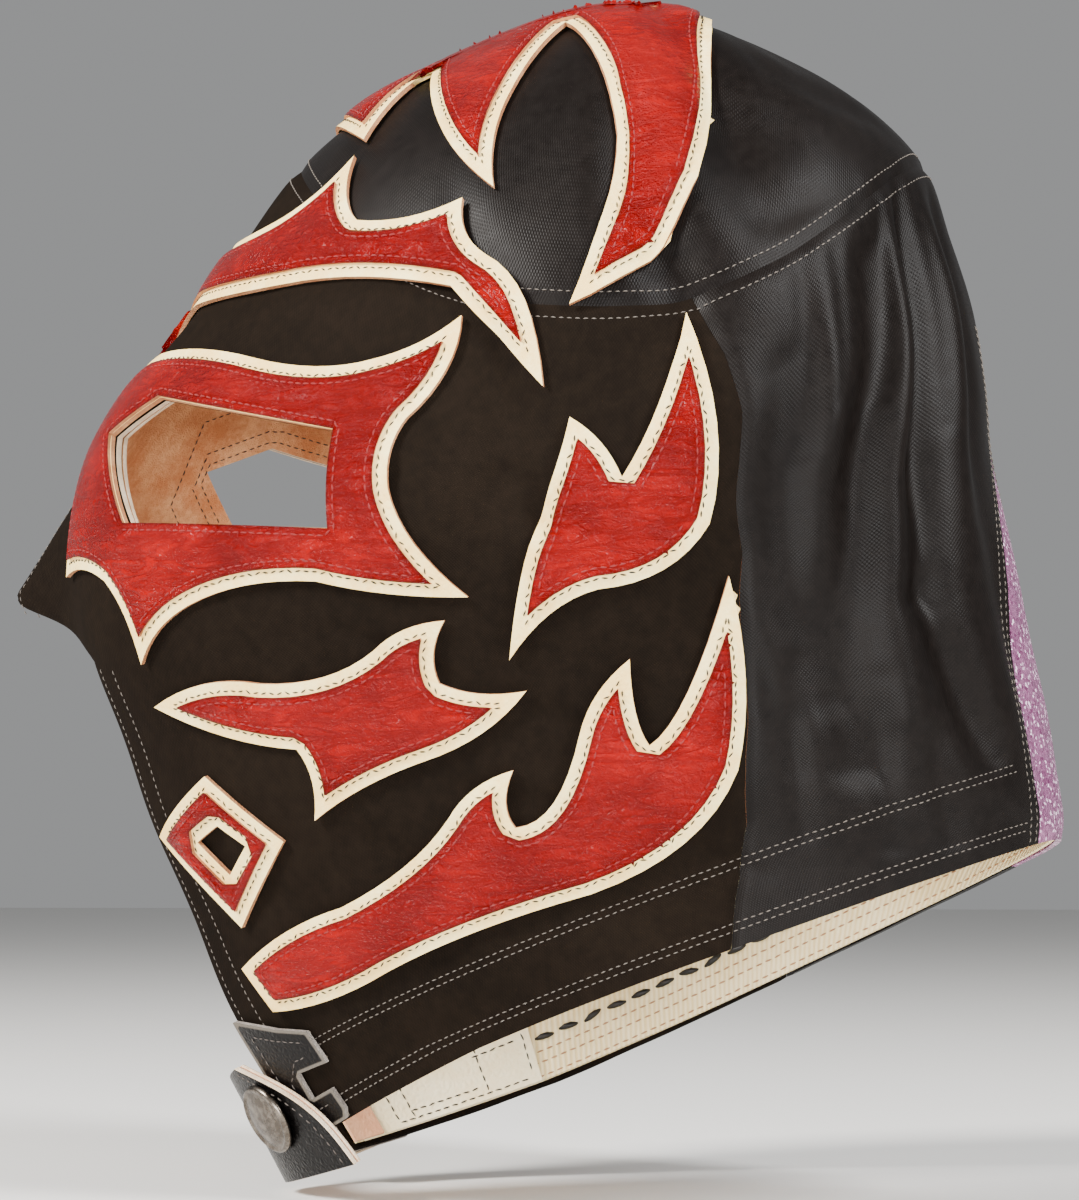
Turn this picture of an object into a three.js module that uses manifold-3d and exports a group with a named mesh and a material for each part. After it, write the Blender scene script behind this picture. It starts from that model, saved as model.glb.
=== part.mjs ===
// A wrestler's mask of stretch fabric with leather flames sewn on, open over the mouth and closed by a strap
// with a snap under the chin. Units are millimetres. Z is up, the face looks along -Y and +X is the wearer's
// left. The origin is the inside of the crown, where the top of the head bears.
import * as THREE from "three";
import { mergeVertices } from "three/addons/utils/BufferGeometryUtils.js";
import Module from "manifold-3d";

const wasm = await Module();
wasm.setup();

// Sizes of the whole mask
const MASK_LENGTH = 235; // the head opening from brow to back, which the lengths along Y are shares of
const MASK_HEIGHT = 262; // crown to chin, which the heights are shares of
const MASK_WIDTH = 152; // across the temples
const NOSE_REACH = 17.5; // how far the nose cover stands out of the face
const NOSE_HALF_WIDTH = 14;
const HEM_LEAN = 15; // how much lower the hem hangs on the wearer's right than on the left

// Thicknesses and clearances
const FABRIC_WALL = 1.5; // face and back panels, and the crown
const LINING_WALL = 1.0; // suede lining and the hem facing
const BORDER_WALL = 1.0; // pale leather under each flame
const FLAME_WALL = 1.0; // red leather of each flame
const STRAP_WALL = 1.4; // chin strap leather
const STRAP_LINING_WALL = 0.9;
const LAYER_GAP = 0.3; // between pieces that are sewn to each other
const BORDER = 2.7; // pale leather that shows round each red flame

// Chin strap and its snap
const STRAP_ROOT = -34; // degrees round from the front, where the strap leaves the wearer's right
const STRAP_END = 21.5; // degrees round to the wearer's left, where its rounded end lies
const STRAP_END_ROUND = 11; // degrees that the top corner of that end is rounded back by
const STRAP_TOP = 15.33; // section numbers of the strap's two edges
const STRAP_FOOT = 16.28;
const STRAP_ROOT_FOOT = 15.9; // section number of the foot at the root, which stays above the hem
const STRAP_SEAT = 0.7; // air between the chin patch and the strap over it
const ROOT_PATCH_FRONT = 0.015; // shares of the face panel's width that the strap's root patch lies between
const ROOT_PATCH_BACK = 0.38;
const SNAP_RADIUS = 7.8;
const SNAP_HEIGHT = 2.4;
const SNAP_ANGLE = 12.5; // degrees round from the front
const SNAP_SECTION = 15.72;

// Sections of the form, from the crown's apex down to the hem. frontY, backY are shares of MASK_LENGTH;
// frontZ, backZ and sideDrop, how far the section dips at the sides, are shares of MASK_HEIGHT; halfWidth is a
// share of half MASK_WIDTH; widestAt is where along its length it is widest; the two rounds are exponents of its
// outline; edge is the degrees from the front at which cloth starts, and seam those of the side seam.
const SECTIONS = [
  { frontY: 0.0, frontZ: 0.0, backY: 0.0, backZ: 0.0, sideDrop: 0.0, halfWidth: 0.0, widestAt: 0.5, frontRound: 2.0, backRound: 2.0, edge: 0, seam: 90 },
  { frontY: -0.061, frontZ: -0.008, backY: 0.087, backZ: -0.012, sideDrop: -0.012, halfWidth: 0.34, widestAt: 0.5, frontRound: 2.0, backRound: 2.0, edge: 0, seam: 92 },
  { frontY: -0.146, frontZ: -0.035, backY: 0.178, backZ: -0.05, sideDrop: -0.055, halfWidth: 0.64, widestAt: 0.5, frontRound: 2.0, backRound: 2.0, edge: 0, seam: 95 },
  { frontY: -0.236, frontZ: -0.071, backY: 0.244, backZ: -0.089, sideDrop: -0.125, halfWidth: 0.85, widestAt: 0.52, frontRound: 2.1, backRound: 2.1, edge: 0, seam: 100 },
  { frontY: -0.308, frontZ: -0.123, backY: 0.293, backZ: -0.139, sideDrop: -0.16, halfWidth: 0.94, widestAt: 0.54, frontRound: 2.2, backRound: 2.2, edge: 0, seam: 107 },
  { frontY: -0.362, frontZ: -0.186, backY: 0.315, backZ: -0.2, sideDrop: -0.155, halfWidth: 0.975, widestAt: 0.55, frontRound: 2.25, backRound: 2.2, edge: 0, seam: 113 },
  { frontY: -0.409, frontZ: -0.248, backY: 0.335, backZ: -0.262, sideDrop: -0.14, halfWidth: 0.995, widestAt: 0.55, frontRound: 2.3, backRound: 2.2, edge: 0, seam: 117 },
  { frontY: -0.464, frontZ: -0.309, backY: 0.346, backZ: -0.324, sideDrop: -0.115, halfWidth: 1.0, widestAt: 0.55, frontRound: 2.35, backRound: 2.2, edge: 0, seam: 119.5 },
  { frontY: -0.502, frontZ: -0.368, backY: 0.351, backZ: -0.38, sideDrop: -0.09, halfWidth: 0.985, widestAt: 0.55, frontRound: 2.4, backRound: 2.2, edge: 0, seam: 121.5 },
  { frontY: -0.526, frontZ: -0.43, backY: 0.363, backZ: -0.435, sideDrop: -0.065, halfWidth: 0.96, widestAt: 0.55, frontRound: 2.4, backRound: 2.2, edge: 0, seam: 123.5 },
  { frontY: -0.529, frontZ: -0.494, backY: 0.377, backZ: -0.495, sideDrop: -0.045, halfWidth: 0.93, widestAt: 0.54, frontRound: 2.4, backRound: 2.2, edge: 0, seam: 124 },
  { frontY: -0.518, frontZ: -0.551, backY: 0.388, backZ: -0.548, sideDrop: -0.03, halfWidth: 0.9, widestAt: 0.54, frontRound: 2.4, backRound: 2.2, edge: 17, seam: 123.5 },
  { frontY: -0.487, frontZ: -0.624, backY: 0.399, backZ: -0.598, sideDrop: -0.018, halfWidth: 0.87, widestAt: 0.53, frontRound: 2.3, backRound: 2.2, edge: 15.5, seam: 122.5 },
  { frontY: -0.456, frontZ: -0.698, backY: 0.407, backZ: -0.64, sideDrop: -0.006, halfWidth: 0.84, widestAt: 0.52, frontRound: 2.3, backRound: 2.2, edge: 14.5, seam: 121 },
  { frontY: -0.421, frontZ: -0.776, backY: 0.412, backZ: -0.673, sideDrop: 0.0, halfWidth: 0.8, widestAt: 0.52, frontRound: 2.2, backRound: 2.2, edge: 13.5, seam: 118.5 },
  { frontY: -0.381, frontZ: -0.871, backY: 0.414, backZ: -0.693, sideDrop: 0.003, halfWidth: 0.765, widestAt: 0.52, frontRound: 2.1, backRound: 2.2, edge: 13.5, seam: 114 },
  { frontY: -0.315, frontZ: -0.983, backY: 0.413, backZ: -0.708, sideDrop: 0.002, halfWidth: 0.735, widestAt: 0.52, frontRound: 1.75, backRound: 2.2, edge: 13, seam: 106 },
];
const HEM = SECTIONS.length - 1;
const CROWN_SEAM = 4; // the section that the seam between crown and panels follows
const FACING_TOP = 14; // the section where the hem facing starts inside
const LEAN_START = 0.5; // shares of MASK_HEIGHT between which the skirt starts to lean and leans fully
const LEAN_FULL = 0.9;

// Heights of the nose cover, shares of MASK_HEIGHT
const NOSE_ROOT = -0.345;
const NOSE_TIP = -0.49;
const NOSE_FOOT = -0.56;

// Main folds of the cloth. Each runs between two places, given in degrees round from the front and in section
// numbers. width is a share of MASK_LENGTH, and depth, inwards when negative, of MASK_WIDTH.
const FOLDS = [
  { name: "side valley", fromAngle: 124, fromSection: 5.6, toAngle: 135, toSection: 11.6, width: 0.026, depth: -0.02 },
  { name: "side ridge", fromAngle: 132, fromSection: 5.0, toAngle: 140, toSection: 11.5, width: 0.026, depth: 0.012 },
  { name: "long valley", fromAngle: 141, fromSection: 4.8, toAngle: 138.5, toSection: 13, width: 0.026, depth: -0.028 },
  { name: "middle ridge", fromAngle: 147, fromSection: 5, toAngle: 146, toSection: 12, width: 0.024, depth: 0.016 },
  { name: "deep valley", fromAngle: 153, fromSection: 4.3, toAngle: 151.5, toSection: 10, width: 0.02, depth: -0.036 },
  { name: "deep valley foot", fromAngle: 151.5, fromSection: 10, toAngle: 158, toSection: 13, width: 0.02, depth: -0.026 },
  { name: "back ridge", fromAngle: 161, fromSection: 5, toAngle: 161, toSection: 9.5, width: 0.024, depth: 0.014 },
  { name: "crown pinch", fromAngle: 94, fromSection: 2.1, toAngle: 108, toSection: 4.4, width: 0.03, depth: -0.02 },
  { name: "temple crease", fromAngle: 76, fromSection: 4.6, toAngle: 84, toSection: 6.9, width: 0.022, depth: -0.016 },
  { name: "temple crease foot", fromAngle: 84, fromSection: 6.9, toAngle: 98, toSection: 8.5, width: 0.022, depth: -0.016 },
  { name: "crown puff", fromAngle: 125, fromSection: 1.8, toAngle: 152, toSection: 3.3, width: 0.06, depth: 0.016 },
  { name: "crown slack", fromAngle: 112, fromSection: 1.2, toAngle: 122, toSection: 3.6, width: 0.035, depth: -0.014 },
];
const FOLD_ARC = 0.0056; // length of one degree round the head, a share of MASK_LENGTH
const FOLD_PITCH = 0.052; // height of one section, a share of MASK_HEIGHT

// The grid that every layer of cloth and leather shares: section numbers of its rows, and where its columns lie
// between the front edge and the side seam, and between the seam and the middle of the back
const GRID_ROWS = [0, 1, 2, 3, 4, 5, 6.5, 8.25, 10, 11, 12.5, 14, 15, 16];
const FACE_COLUMNS = [0, 0.07, 0.2, 0.38, 0.58, 0.79, 1];
const BACK_COLUMNS = [0.14, 0.28, 0.42, 0.56, 0.7, 0.85, 1];
const SIDE_SEAM = FACE_COLUMNS.length - 1;
const MID_BACK = SIDE_SEAM + BACK_COLUMNS.length;

// Outlines are drawn as seen from one side, at a bearing round the head and a pitch above level. Each point holds
// its place across and its height, in percent of MASK_LENGTH and MASK_HEIGHT; "via" bends the edge towards it.
const EYE_HOLE = {
  bearing: 60,
  pitch: 0,
  outline: [[-32, -37], [-25, -34.5], [-3.4, -38.7], [-3.3, -46.4], [-25.7, -45]],
};
const FLAMES = [
  {
    name: "eye_flame",
    bearing: 60,
    pitch: 0,
    outline: [
      [-39.5, -37.5], [-37, -31, "via"], [-30, -30], [-22, -30, "via"], [-14, -32], [-6, -34, "via"],
      [-1, -33], [3.5, -32.3, "via"], [6.5, -29.8], [7, -34.5, "via"], [3, -38], [1.5, -40, "via"],
      [2, -43.5], [3, -48, "via"], [7.5, -52], [1, -52, "via"], [-5, -50.5], [-12, -50, "via"], [-18, -52],
      [-22.5, -53.5, "via"], [-25, -56.5], [-25.5, -52, "via"], [-29, -49.5], [-33, -47.5, "via"],
      [-38.5, -48.5], [-36.5, -43.5, "via"],
    ],
    hole: EYE_HOLE.outline,
    holeBorder: 0,
  },
  {
    name: "brow_flame",
    bearing: 60,
    pitch: 0,
    outline: [
      [-42, -27], [-35, -19], [-26, -21, "via"], [-18, -19.5], [-13, -18.5, "via"], [-10.5, -14.5],
      [-9.5, -19, "via"], [-6.5, -20.8], [-0.5, -21.8, "via"], [4, -19.8], [4.5, -23, "via"], [7.5, -24.8],
      [12.5, -27.2, "via"], [14, -35.8], [10.2, -32, "via"], [5, -27.3], [-4, -25.3, "via"], [-13, -25.7],
      [-22, -25.9, "via"], [-29, -25.5], [-35, -26, "via"], [-42, -31],
    ],
  },
  {
    name: "crest_flame",
    bearing: 90,
    pitch: 45,
    outline: [
      [-28, 6], [-28, -6], [-26.5, -13, "via"], [-21.5, -19.5], [-19.5, -13, "via"], [-16.5, -8.5],
      [-16, -17, "via"], [-13, -23], [-11, -27, "via"], [-7.5, -30], [-8.8, -25, "via"], [-7, -19.5],
      [-5.5, -14, "via"], [-3.5, -9], [1.5, -17, "via"], [3, -25], [3.5, -33, "via"], [0, -40],
      [8, -37.5, "via"], [10.5, -29], [12.5, -16, "via"], [6.5, 8],
    ],
  },
  {
    name: "temple_flame",
    bearing: 90,
    pitch: 0,
    outline: [
      [-5.5, -57], [-4.5, -50, "via"], [-2.5, -46], [-0.5, -42, "via"], [0.3, -38.3], [3.5, -40, "via"],
      [4.8, -43], [8.5, -38, "via"], [10, -30], [14.5, -39, "via"], [12, -46.5], [9, -51, "via"],
      [2.5, -51.5], [-2, -52.5, "via"],
    ],
  },
  {
    name: "cheek_flame",
    bearing: 75,
    pitch: 0,
    outline: [
      [-33.5, -60], [-27, -57.5, "via"], [-21, -58.5], [-14, -59, "via"], [-9.5, -56], [-7, -54, "via"],
      [-3, -53.8], [-5, -56.5, "via"], [-4, -58.8], [-1, -60.2, "via"], [3.5, -59.5], [0, -63.5, "via"],
      [-6, -65.2], [-12, -67, "via"], [-17, -70], [-16, -66.5, "via"], [-18, -64], [-25, -63.5, "via"],
    ],
  },
  {
    name: "jaw_flame",
    bearing: 90,
    pitch: 0,
    outline: [
      [-33, -82.5], [-28, -79, "via"], [-22, -77.5], [-15, -74.5, "via"], [-11.5, -70], [-9.5, -67, "via"],
      [-5.5, -66], [-7, -69, "via"], [-5.5, -70.8], [-1.5, -70.5, "via"], [0.5, -63], [1.5, -59.5, "via"],
      [5, -57], [5, -62, "via"], [6.5, -64], [9.8, -62, "via"], [13.5, -50.5], [15.8, -59, "via"], [14, -66],
      [11, -73, "via"], [1, -76.5], [-10, -79.5, "via"], [-18, -83.2], [-24, -86.3, "via"], [-30, -86.3],
    ],
  },
  {
    name: "chin_diamond",
    bearing: 60,
    pitch: 0,
    outline: [
      [-29.5, -70.8], [-20, -66], [-12.5, -71.7], [-20, -79],
    ],
    hole: [
      [-23, -71.5], [-19.7, -70.2], [-16.9, -72], [-19.8, -74.4],
    ],
    holeBorder: BORDER,
  },
];
const CHIN_PATCH = {
  bearing: 90,
  pitch: 0,
  outline: [
    [-36.5, -86.6], [-33.7, -87.1], [-29.9, -87.8], [-26.7, -88.1], [-24.9, -90.7], [-28.2, -91.5], [-27, -93.5],
    [-24.7, -92.7], [-23.5, -94.3], [-23.9, -102], [-42, -102],
  ],
};
const GORE = {
  bearing: 180,
  pitch: 0,
  outline: [[0, -37.5], [-7.5, -44, "via"], [-8.8, -58], [-9.1, -80], [15.3, -80], [8, -52, "via"]],
};
const CURVE_STEPS = 2; // straight lengths in each bent stretch of an outline
const ARC_STEPS = 2; // and in each half turn round a notch

const FABRIC = { color: 0x1c1814, roughness: 0.8 };
const LYCRA = { color: 0x2c2824, roughness: 0.55 };
const SUEDE = { color: 0xd9a077, roughness: 0.9 };
const CREAM_LEATHER = { color: 0xefe4c4, roughness: 0.6 };
const WHITE_LEATHER = { color: 0xf4ead0, roughness: 0.5 };
const RED_LEATHER = { color: 0xbf241e, roughness: 0.4 };
const BLACK_LEATHER = { color: 0x0d0c0c, roughness: 0.3 };
const GLITTER = { color: 0x966078, roughness: 0.5, metalness: 0.3 };
const PEWTER = { color: 0x4a4238, roughness: 0.3, metalness: 1 };

// A column of the section table at any section number, as a smooth curve through its rows
function smoothColumn(column, section) {
  const row = Math.min(Math.floor(section), HEM - 1);
  const t = section - row;
  const b = SECTIONS[row][column];
  const c = SECTIONS[row + 1][column];
  const mirrored = column === "frontZ" || column === "backZ" || column === "sideDrop";
  const a = row > 0 ? SECTIONS[row - 1][column] : mirrored ? c : 2 * b - c;
  const d = row < HEM - 1 ? SECTIONS[row + 2][column] : 2 * c - b;
  return 0.5 * (2 * b + (c - a) * t + (2 * a - 5 * b + 4 * c - d) * t * t + (3 * b - a - 3 * c + d) * t ** 3);
}

// A column at any section number, in straight lines between its rows
function straightColumn(column, section) {
  const row = Math.min(Math.floor(section), HEM - 1);
  return THREE.MathUtils.lerp(SECTIONS[row][column], SECTIONS[row + 1][column], section - row);
}

// How far the nose cover stands forward at a place of the face
function noseReach(x, z) {
  const root = NOSE_ROOT * MASK_HEIGHT;
  const tip = NOSE_TIP * MASK_HEIGHT;
  const foot = NOSE_FOOT * MASK_HEIGHT;
  const above = THREE.MathUtils.clamp((root - z) / (root - tip), 0, 1) ** 1.6;
  const below = 1 - (1 - THREE.MathUtils.clamp((z - foot) / (tip - foot), 0, 1)) ** 2;
  return NOSE_REACH * (z > tip ? above : below) * Math.exp(-((x / NOSE_HALF_WIDTH) ** 2));
}

// The smooth form, at an angle in degrees from the front and at a section number
function formPoint(angle, section) {
  if (section > HEM) {
    const step = 0.2;
    const edge = formPoint(angle, HEM);
    const inside = formPoint(angle, HEM - step);
    return edge.clone().lerp(inside, (HEM - section) / step);
  }
  const frontY = smoothColumn("frontY", section) * MASK_LENGTH;
  const backY = smoothColumn("backY", section) * MASK_LENGTH;
  const frontZ = smoothColumn("frontZ", section) * MASK_HEIGHT;
  const backZ = smoothColumn("backZ", section) * MASK_HEIGHT;
  const halfWidth = (Math.max(smoothColumn("halfWidth", section), 0) * MASK_WIDTH) / 2;
  if (backY - frontY < 1e-6 || halfWidth < 1e-6) return new THREE.Vector3(0, frontY, frontZ);
  const middle = frontY + (backY - frontY) * smoothColumn("widestAt", section);
  const turn = THREE.MathUtils.degToRad(angle);
  const ahead = Math.cos(turn);
  const aside = Math.sin(turn);
  const half = ahead > 0 ? middle - frontY : backY - middle;
  const round = smoothColumn(ahead > 0 ? "frontRound" : "backRound", section);
  const reach = ((Math.abs(ahead) / half) ** round + (Math.abs(aside) / halfWidth) ** round) ** (-1 / round);
  const x = Math.abs(angle) % 180 === 0 ? 0 : reach * aside;
  const y = middle - reach * ahead;
  const along = (y - frontY) / (backY - frontY);
  const dip = smoothColumn("sideDrop", section) * MASK_HEIGHT * Math.min(1, (x / halfWidth) ** 2);
  const z = frontZ + (backZ - frontZ) * along + dip;
  return new THREE.Vector3(x, ahead > 0 ? y - noseReach(x, z) : y, z);
}

// The outward direction of a surface given by a function of angle and section
function surfaceNormal(surface, angle, section) {
  if (section < 1e-6) return new THREE.Vector3(0, 0, 1);
  const turn = 0.5;
  const step = 0.05;
  const across = surface(angle + turn, section).sub(surface(angle - turn, section));
  const low = Math.min(section + step, HEM);
  const down = surface(angle, low).sub(surface(angle, Math.max(low - 2 * step, 0)));
  const normal = down.cross(across).normalize();
  if (Math.abs(angle) % 180 === 0) normal.setX(0).normalize();
  return normal;
}

// The depth of the folds at a place, with each fold fading out over its ends
function foldDepth(angle, section) {
  let depth = 0;
  for (const fold of FOLDS) {
    const arc = FOLD_ARC * MASK_LENGTH;
    const pitch = FOLD_PITCH * MASK_HEIGHT;
    const along = new THREE.Vector2((fold.toAngle - fold.fromAngle) * arc, (fold.toSection - fold.fromSection) * pitch);
    const from = new THREE.Vector2((angle - fold.fromAngle) * arc, (section - fold.fromSection) * pitch);
    const share = THREE.MathUtils.clamp(from.dot(along) / along.lengthSq(), 0, 1);
    const off = from.sub(along.multiplyScalar(share)).length() / (fold.width * MASK_LENGTH);
    const fade = Math.sqrt(Math.sin(Math.PI * (0.1 + 0.8 * share)));
    depth += fold.depth * MASK_WIDTH * fade * Math.exp(-off * off);
  }
  return depth;
}

// The form with its folds
function foldedPoint(angle, section) {
  const turned = 180 - Math.abs(180 - Math.abs(angle)); // the same fold on both sides of the mid-line
  const normal = surfaceNormal(formPoint, angle, section);
  return formPoint(angle, section).addScaledVector(normal, foldDepth(turned, section));
}

// Degrees from the front of a grid column at a section
function columnAngle(column, section) {
  const edge = straightColumn("edge", section);
  const seam = straightColumn("seam", section);
  if (column <= SIDE_SEAM) return edge + (seam - edge) * FACE_COLUMNS[column];
  return seam + (180 - seam) * BACK_COLUMNS[column - SIDE_SEAM - 1];
}

const GRID = GRID_ROWS.map((section) =>
  Array.from({ length: MID_BACK + 1 }, (_, column) => {
    const angle = columnAngle(column, section);
    return { point: foldedPoint(angle, section), normal: surfaceNormal(foldedPoint, angle, section) };
  }),
);

// A place on the grid, whose row and column may lie between two, at a height over the cloth's outer face
function gridPoint(row, column, height) {
  const r = Math.min(Math.floor(row), GRID.length - 2);
  const c = Math.min(Math.floor(column), MID_BACK - 1);
  const corner = (i, j) => GRID[i][j].point.clone().addScaledVector(GRID[i][j].normal, height);
  const top = corner(r, c).lerp(corner(r, c + 1), column - c);
  const bottom = corner(r + 1, c).lerp(corner(r + 1, c + 1), column - c);
  return top.lerp(bottom, row - r);
}

// The grid row of a section number
function rowOf(section) {
  const above = GRID_ROWS.findLastIndex((value) => value <= section);
  if (above === GRID_ROWS.length - 1) return above;
  return above + (section - GRID_ROWS[above]) / (GRID_ROWS[above + 1] - GRID_ROWS[above]);
}

// The grid column at a share of the way from the front edge to the side seam
function columnOf(share) {
  const before = FACE_COLUMNS.findLastIndex((value) => value <= share);
  return before + (share - FACE_COLUMNS[before]) / (FACE_COLUMNS[before + 1] - FACE_COLUMNS[before]);
}

// Whole numbers between two ends, with the ends themselves
function steps(from, to) {
  const inside = [];
  for (let i = Math.floor(from) + 1; i < to; i++) inside.push(i);
  return [from, ...inside, to];
}

// A geometry as a manifold-3d solid
function toSolid(geometry) {
  const plain = new THREE.BufferGeometry().setAttribute("position", geometry.getAttribute("position"));
  const merged = mergeVertices(geometry.index ? plain.setIndex(geometry.index) : plain, 1e-4);
  const index = merged.index.array;
  const triangles = [];
  for (let i = 0; i < index.length; i += 3) {
    const [a, b, c] = [index[i], index[i + 1], index[i + 2]];
    if (a !== b && b !== c && c !== a) triangles.push(a, b, c);
  }
  return new wasm.Manifold(
    new wasm.Mesh({
      numProp: 3,
      vertProperties: merged.attributes.position.array,
      triVerts: new Uint32Array(triangles),
    }),
  );
}

// A manifold-3d solid as a geometry
function toGeometry(solid) {
  const mesh = solid.getMesh();
  return new THREE.BufferGeometry()
    .setAttribute("position", new THREE.BufferAttribute(new Float32Array(mesh.vertProperties), 3))
    .setIndex(new THREE.BufferAttribute(new Uint32Array(mesh.triVerts), 1));
}

// A closed sheet with an inner and an outer face, through the points that at(row, column, height) gives
function sheet(rows, columns, inner, outer, at) {
  const positions = [];
  const put = (height) => {
    const start = positions.length / 3;
    rows.forEach((row) => columns.forEach((column) => positions.push(...at(row, column, height).toArray())));
    return start;
  };
  const outerStart = put(outer);
  const innerStart = put(inner);
  const index = [];
  const quad = (a, b, c, d) => index.push(a, b, c, a, c, d);
  const width = columns.length;
  const height = rows.length;
  for (let r = 0; r + 1 < height; r++) {
    for (let c = 0; c + 1 < width; c++) {
      const a = r * width + c;
      const below = a + width;
      quad(outerStart + a, outerStart + below, outerStart + below + 1, outerStart + a + 1);
      quad(innerStart + a, innerStart + a + 1, innerStart + below + 1, innerStart + below);
    }
  }
  const rim = (a, b) => quad(outerStart + a, outerStart + b, innerStart + b, innerStart + a);
  for (let c = 0; c + 1 < width; c++) {
    rim(c, c + 1);
    rim((height - 1) * width + c + 1, (height - 1) * width + c);
  }
  for (let r = 0; r + 1 < height; r++) {
    rim((r + 1) * width, r * width);
    rim(r * width + width - 1, (r + 1) * width + width - 1);
  }
  const geometry = new THREE.BufferGeometry();
  geometry.setAttribute("position", new THREE.Float32BufferAttribute(positions, 3));
  return toSolid(geometry.setIndex(index));
}

// A sheet of the mask's own grid between two sections and two columns
function layer(topSection, bottomSection, fromColumn, toColumn, inner, outer) {
  return sheet(steps(rowOf(topSection), rowOf(bottomSection)), steps(fromColumn, toColumn), inner, outer, gridPoint);
}

// A box that holds everything to the wearer's left of the mid-line seam
function leftHalf() {
  const size = 2 * (MASK_LENGTH + MASK_HEIGHT);
  const box = new THREE.BoxGeometry(size, size, size);
  return toSolid(box.translate(size / 2 + LAYER_GAP / 2, 0, 0));
}
const LEFT = leftHalf();

// The points of an outline in millimetres, with its bent stretches worked out
function outlinePoints(outline) {
  const points = outline.map(([across, up, kind]) => ({
    place: new THREE.Vector2((across / 100) * MASK_LENGTH, (up / 100) * MASK_HEIGHT),
    via: kind === "via",
  }));
  const result = [];
  points.forEach(({ place, via }, i) => {
    if (!via) {
      result.push(place);
      return;
    }
    const before = points[(i + points.length - 1) % points.length].place;
    const after = points[(i + 1) % points.length].place;
    const curve = new THREE.QuadraticBezierCurve(before, place, after);
    for (let step = 1; step < CURVE_STEPS; step++) result.push(curve.getPoint(step / CURVE_STEPS));
  });
  return THREE.ShapeUtils.isClockWise(result) ? result.reverse() : result;
}

// A prism with the outline, as seen from the drawing's bearing and pitch, that reaches out from near the middle
// of the head
function prism({ bearing, pitch }, points, holes = []) {
  const turn = THREE.MathUtils.degToRad(bearing);
  const tilt = THREE.MathUtils.degToRad(pitch);
  const across = new THREE.Vector3(Math.cos(turn), Math.sin(turn), 0);
  const out = new THREE.Vector3(Math.sin(turn) * Math.cos(tilt), -Math.cos(turn) * Math.cos(tilt), Math.sin(tilt));
  const up = out.clone().cross(across);
  const shape = new THREE.Shape(points);
  holes.forEach((hole) => shape.holes.push(new THREE.Path(hole)));
  const geometry = new THREE.ExtrudeGeometry(shape, { depth: MASK_LENGTH, bevelEnabled: false });
  geometry.translate(0, 0, pitch > 0 ? -MASK_HEIGHT / 4 : 0);
  return toSolid(geometry.applyMatrix4(new THREE.Matrix4().makeBasis(across, up, out)));
}

// All that lies within a distance of an outline's line, reaching out like the prism: a capsule along each edge
function rim(drawing, points, distance) {
  const capsules = points.map((from, i) => {
    const to = points[(i + 1) % points.length];
    const heading = Math.atan2(to.y - from.y, to.x - from.x);
    const arc = (centre, start) =>
      Array.from({ length: ARC_STEPS + 1 }, (_, step) => {
        const angle = start + (Math.PI * step) / ARC_STEPS;
        return new THREE.Vector2(Math.cos(angle), Math.sin(angle)).multiplyScalar(distance).add(centre);
      });
    return prism(drawing, [...arc(to, heading - Math.PI / 2), ...arc(from, heading + Math.PI / 2)]);
  });
  return wasm.Manifold.union(capsules);
}

// The set of the cloth: the skirt leans, lower on the wearer's right, and the crown's inside is at the origin
function settle(point) {
  const low = THREE.MathUtils.clamp((-point.z / MASK_HEIGHT - LEAN_START) / (LEAN_FULL - LEAN_START), 0, 1);
  const hemHalfWidth = (SECTIONS[HEM].halfWidth * MASK_WIDTH) / 2;
  point.z += (HEM_LEAN / 2) * low * low * (point.x / hemHalfWidth) + FABRIC_WALL;
  return point;
}

const mask = new THREE.Group();

// Adds a piece, mirrored to the wearer's right when side is -1, in its finish
function addPiece(name, geometry, finish, side = 1) {
  const made = geometry.clone();
  const position = made.getAttribute("position");
  for (let i = 0; i < position.count; i++) {
    const point = new THREE.Vector3().fromBufferAttribute(position, i);
    point.x *= side;
    settle(point);
    position.setXYZ(i, point.x, point.y, point.z);
  }
  if (side < 0) {
    const index = made.index.array;
    for (let i = 0; i < index.length; i += 3) [index[i + 1], index[i + 2]] = [index[i + 2], index[i + 1]];
  }
  const mesh = new THREE.Mesh(made, new THREE.MeshStandardMaterial(finish));
  mesh.name = name;
  mask.add(mesh);
}

// Adds a piece of the wearer's left and its mirror image on the right
function addPair(name, solid, finish) {
  const geometry = toGeometry(solid);
  addPiece(name + "_left", geometry, finish);
  addPiece(name + "_right", geometry, finish, -1);
}

// The part of a seam's gap that each of its two sides gives up, in sections and in columns
const SECTION_GAP = 0.012;
const COLUMN_GAP = 0.012;

const eyeHole = prism(EYE_HOLE, outlinePoints(EYE_HOLE.outline));

// Crown: two halves that meet along the mid-line
addPair("crown", layer(0, CROWN_SEAM - SECTION_GAP, 0, MID_BACK, -FABRIC_WALL, 0).intersect(LEFT), LYCRA);

// Face panels, with the nose cover and the eye holes
const facePanel = layer(CROWN_SEAM + SECTION_GAP, HEM, 0, SIDE_SEAM - COLUMN_GAP, -FABRIC_WALL, 0);
addPair("face_panel", facePanel.intersect(LEFT).subtract(eyeHole), FABRIC);

// Lining of the face panels, which shows through the eye holes
const liningTop = -FABRIC_WALL - LAYER_GAP;
const lining = layer(CROWN_SEAM + SECTION_GAP, FACING_TOP - SECTION_GAP, 0, SIDE_SEAM - COLUMN_GAP, liningTop - LINING_WALL, liningTop);
addPair("face_lining", lining.intersect(LEFT).subtract(eyeHole), SUEDE);

// Facing inside the hem
const facing = layer(FACING_TOP + SECTION_GAP, HEM, 0, MID_BACK, liningTop - LINING_WALL, liningTop);
addPair("hem_facing", facing.intersect(LEFT), CREAM_LEATHER);

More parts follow.
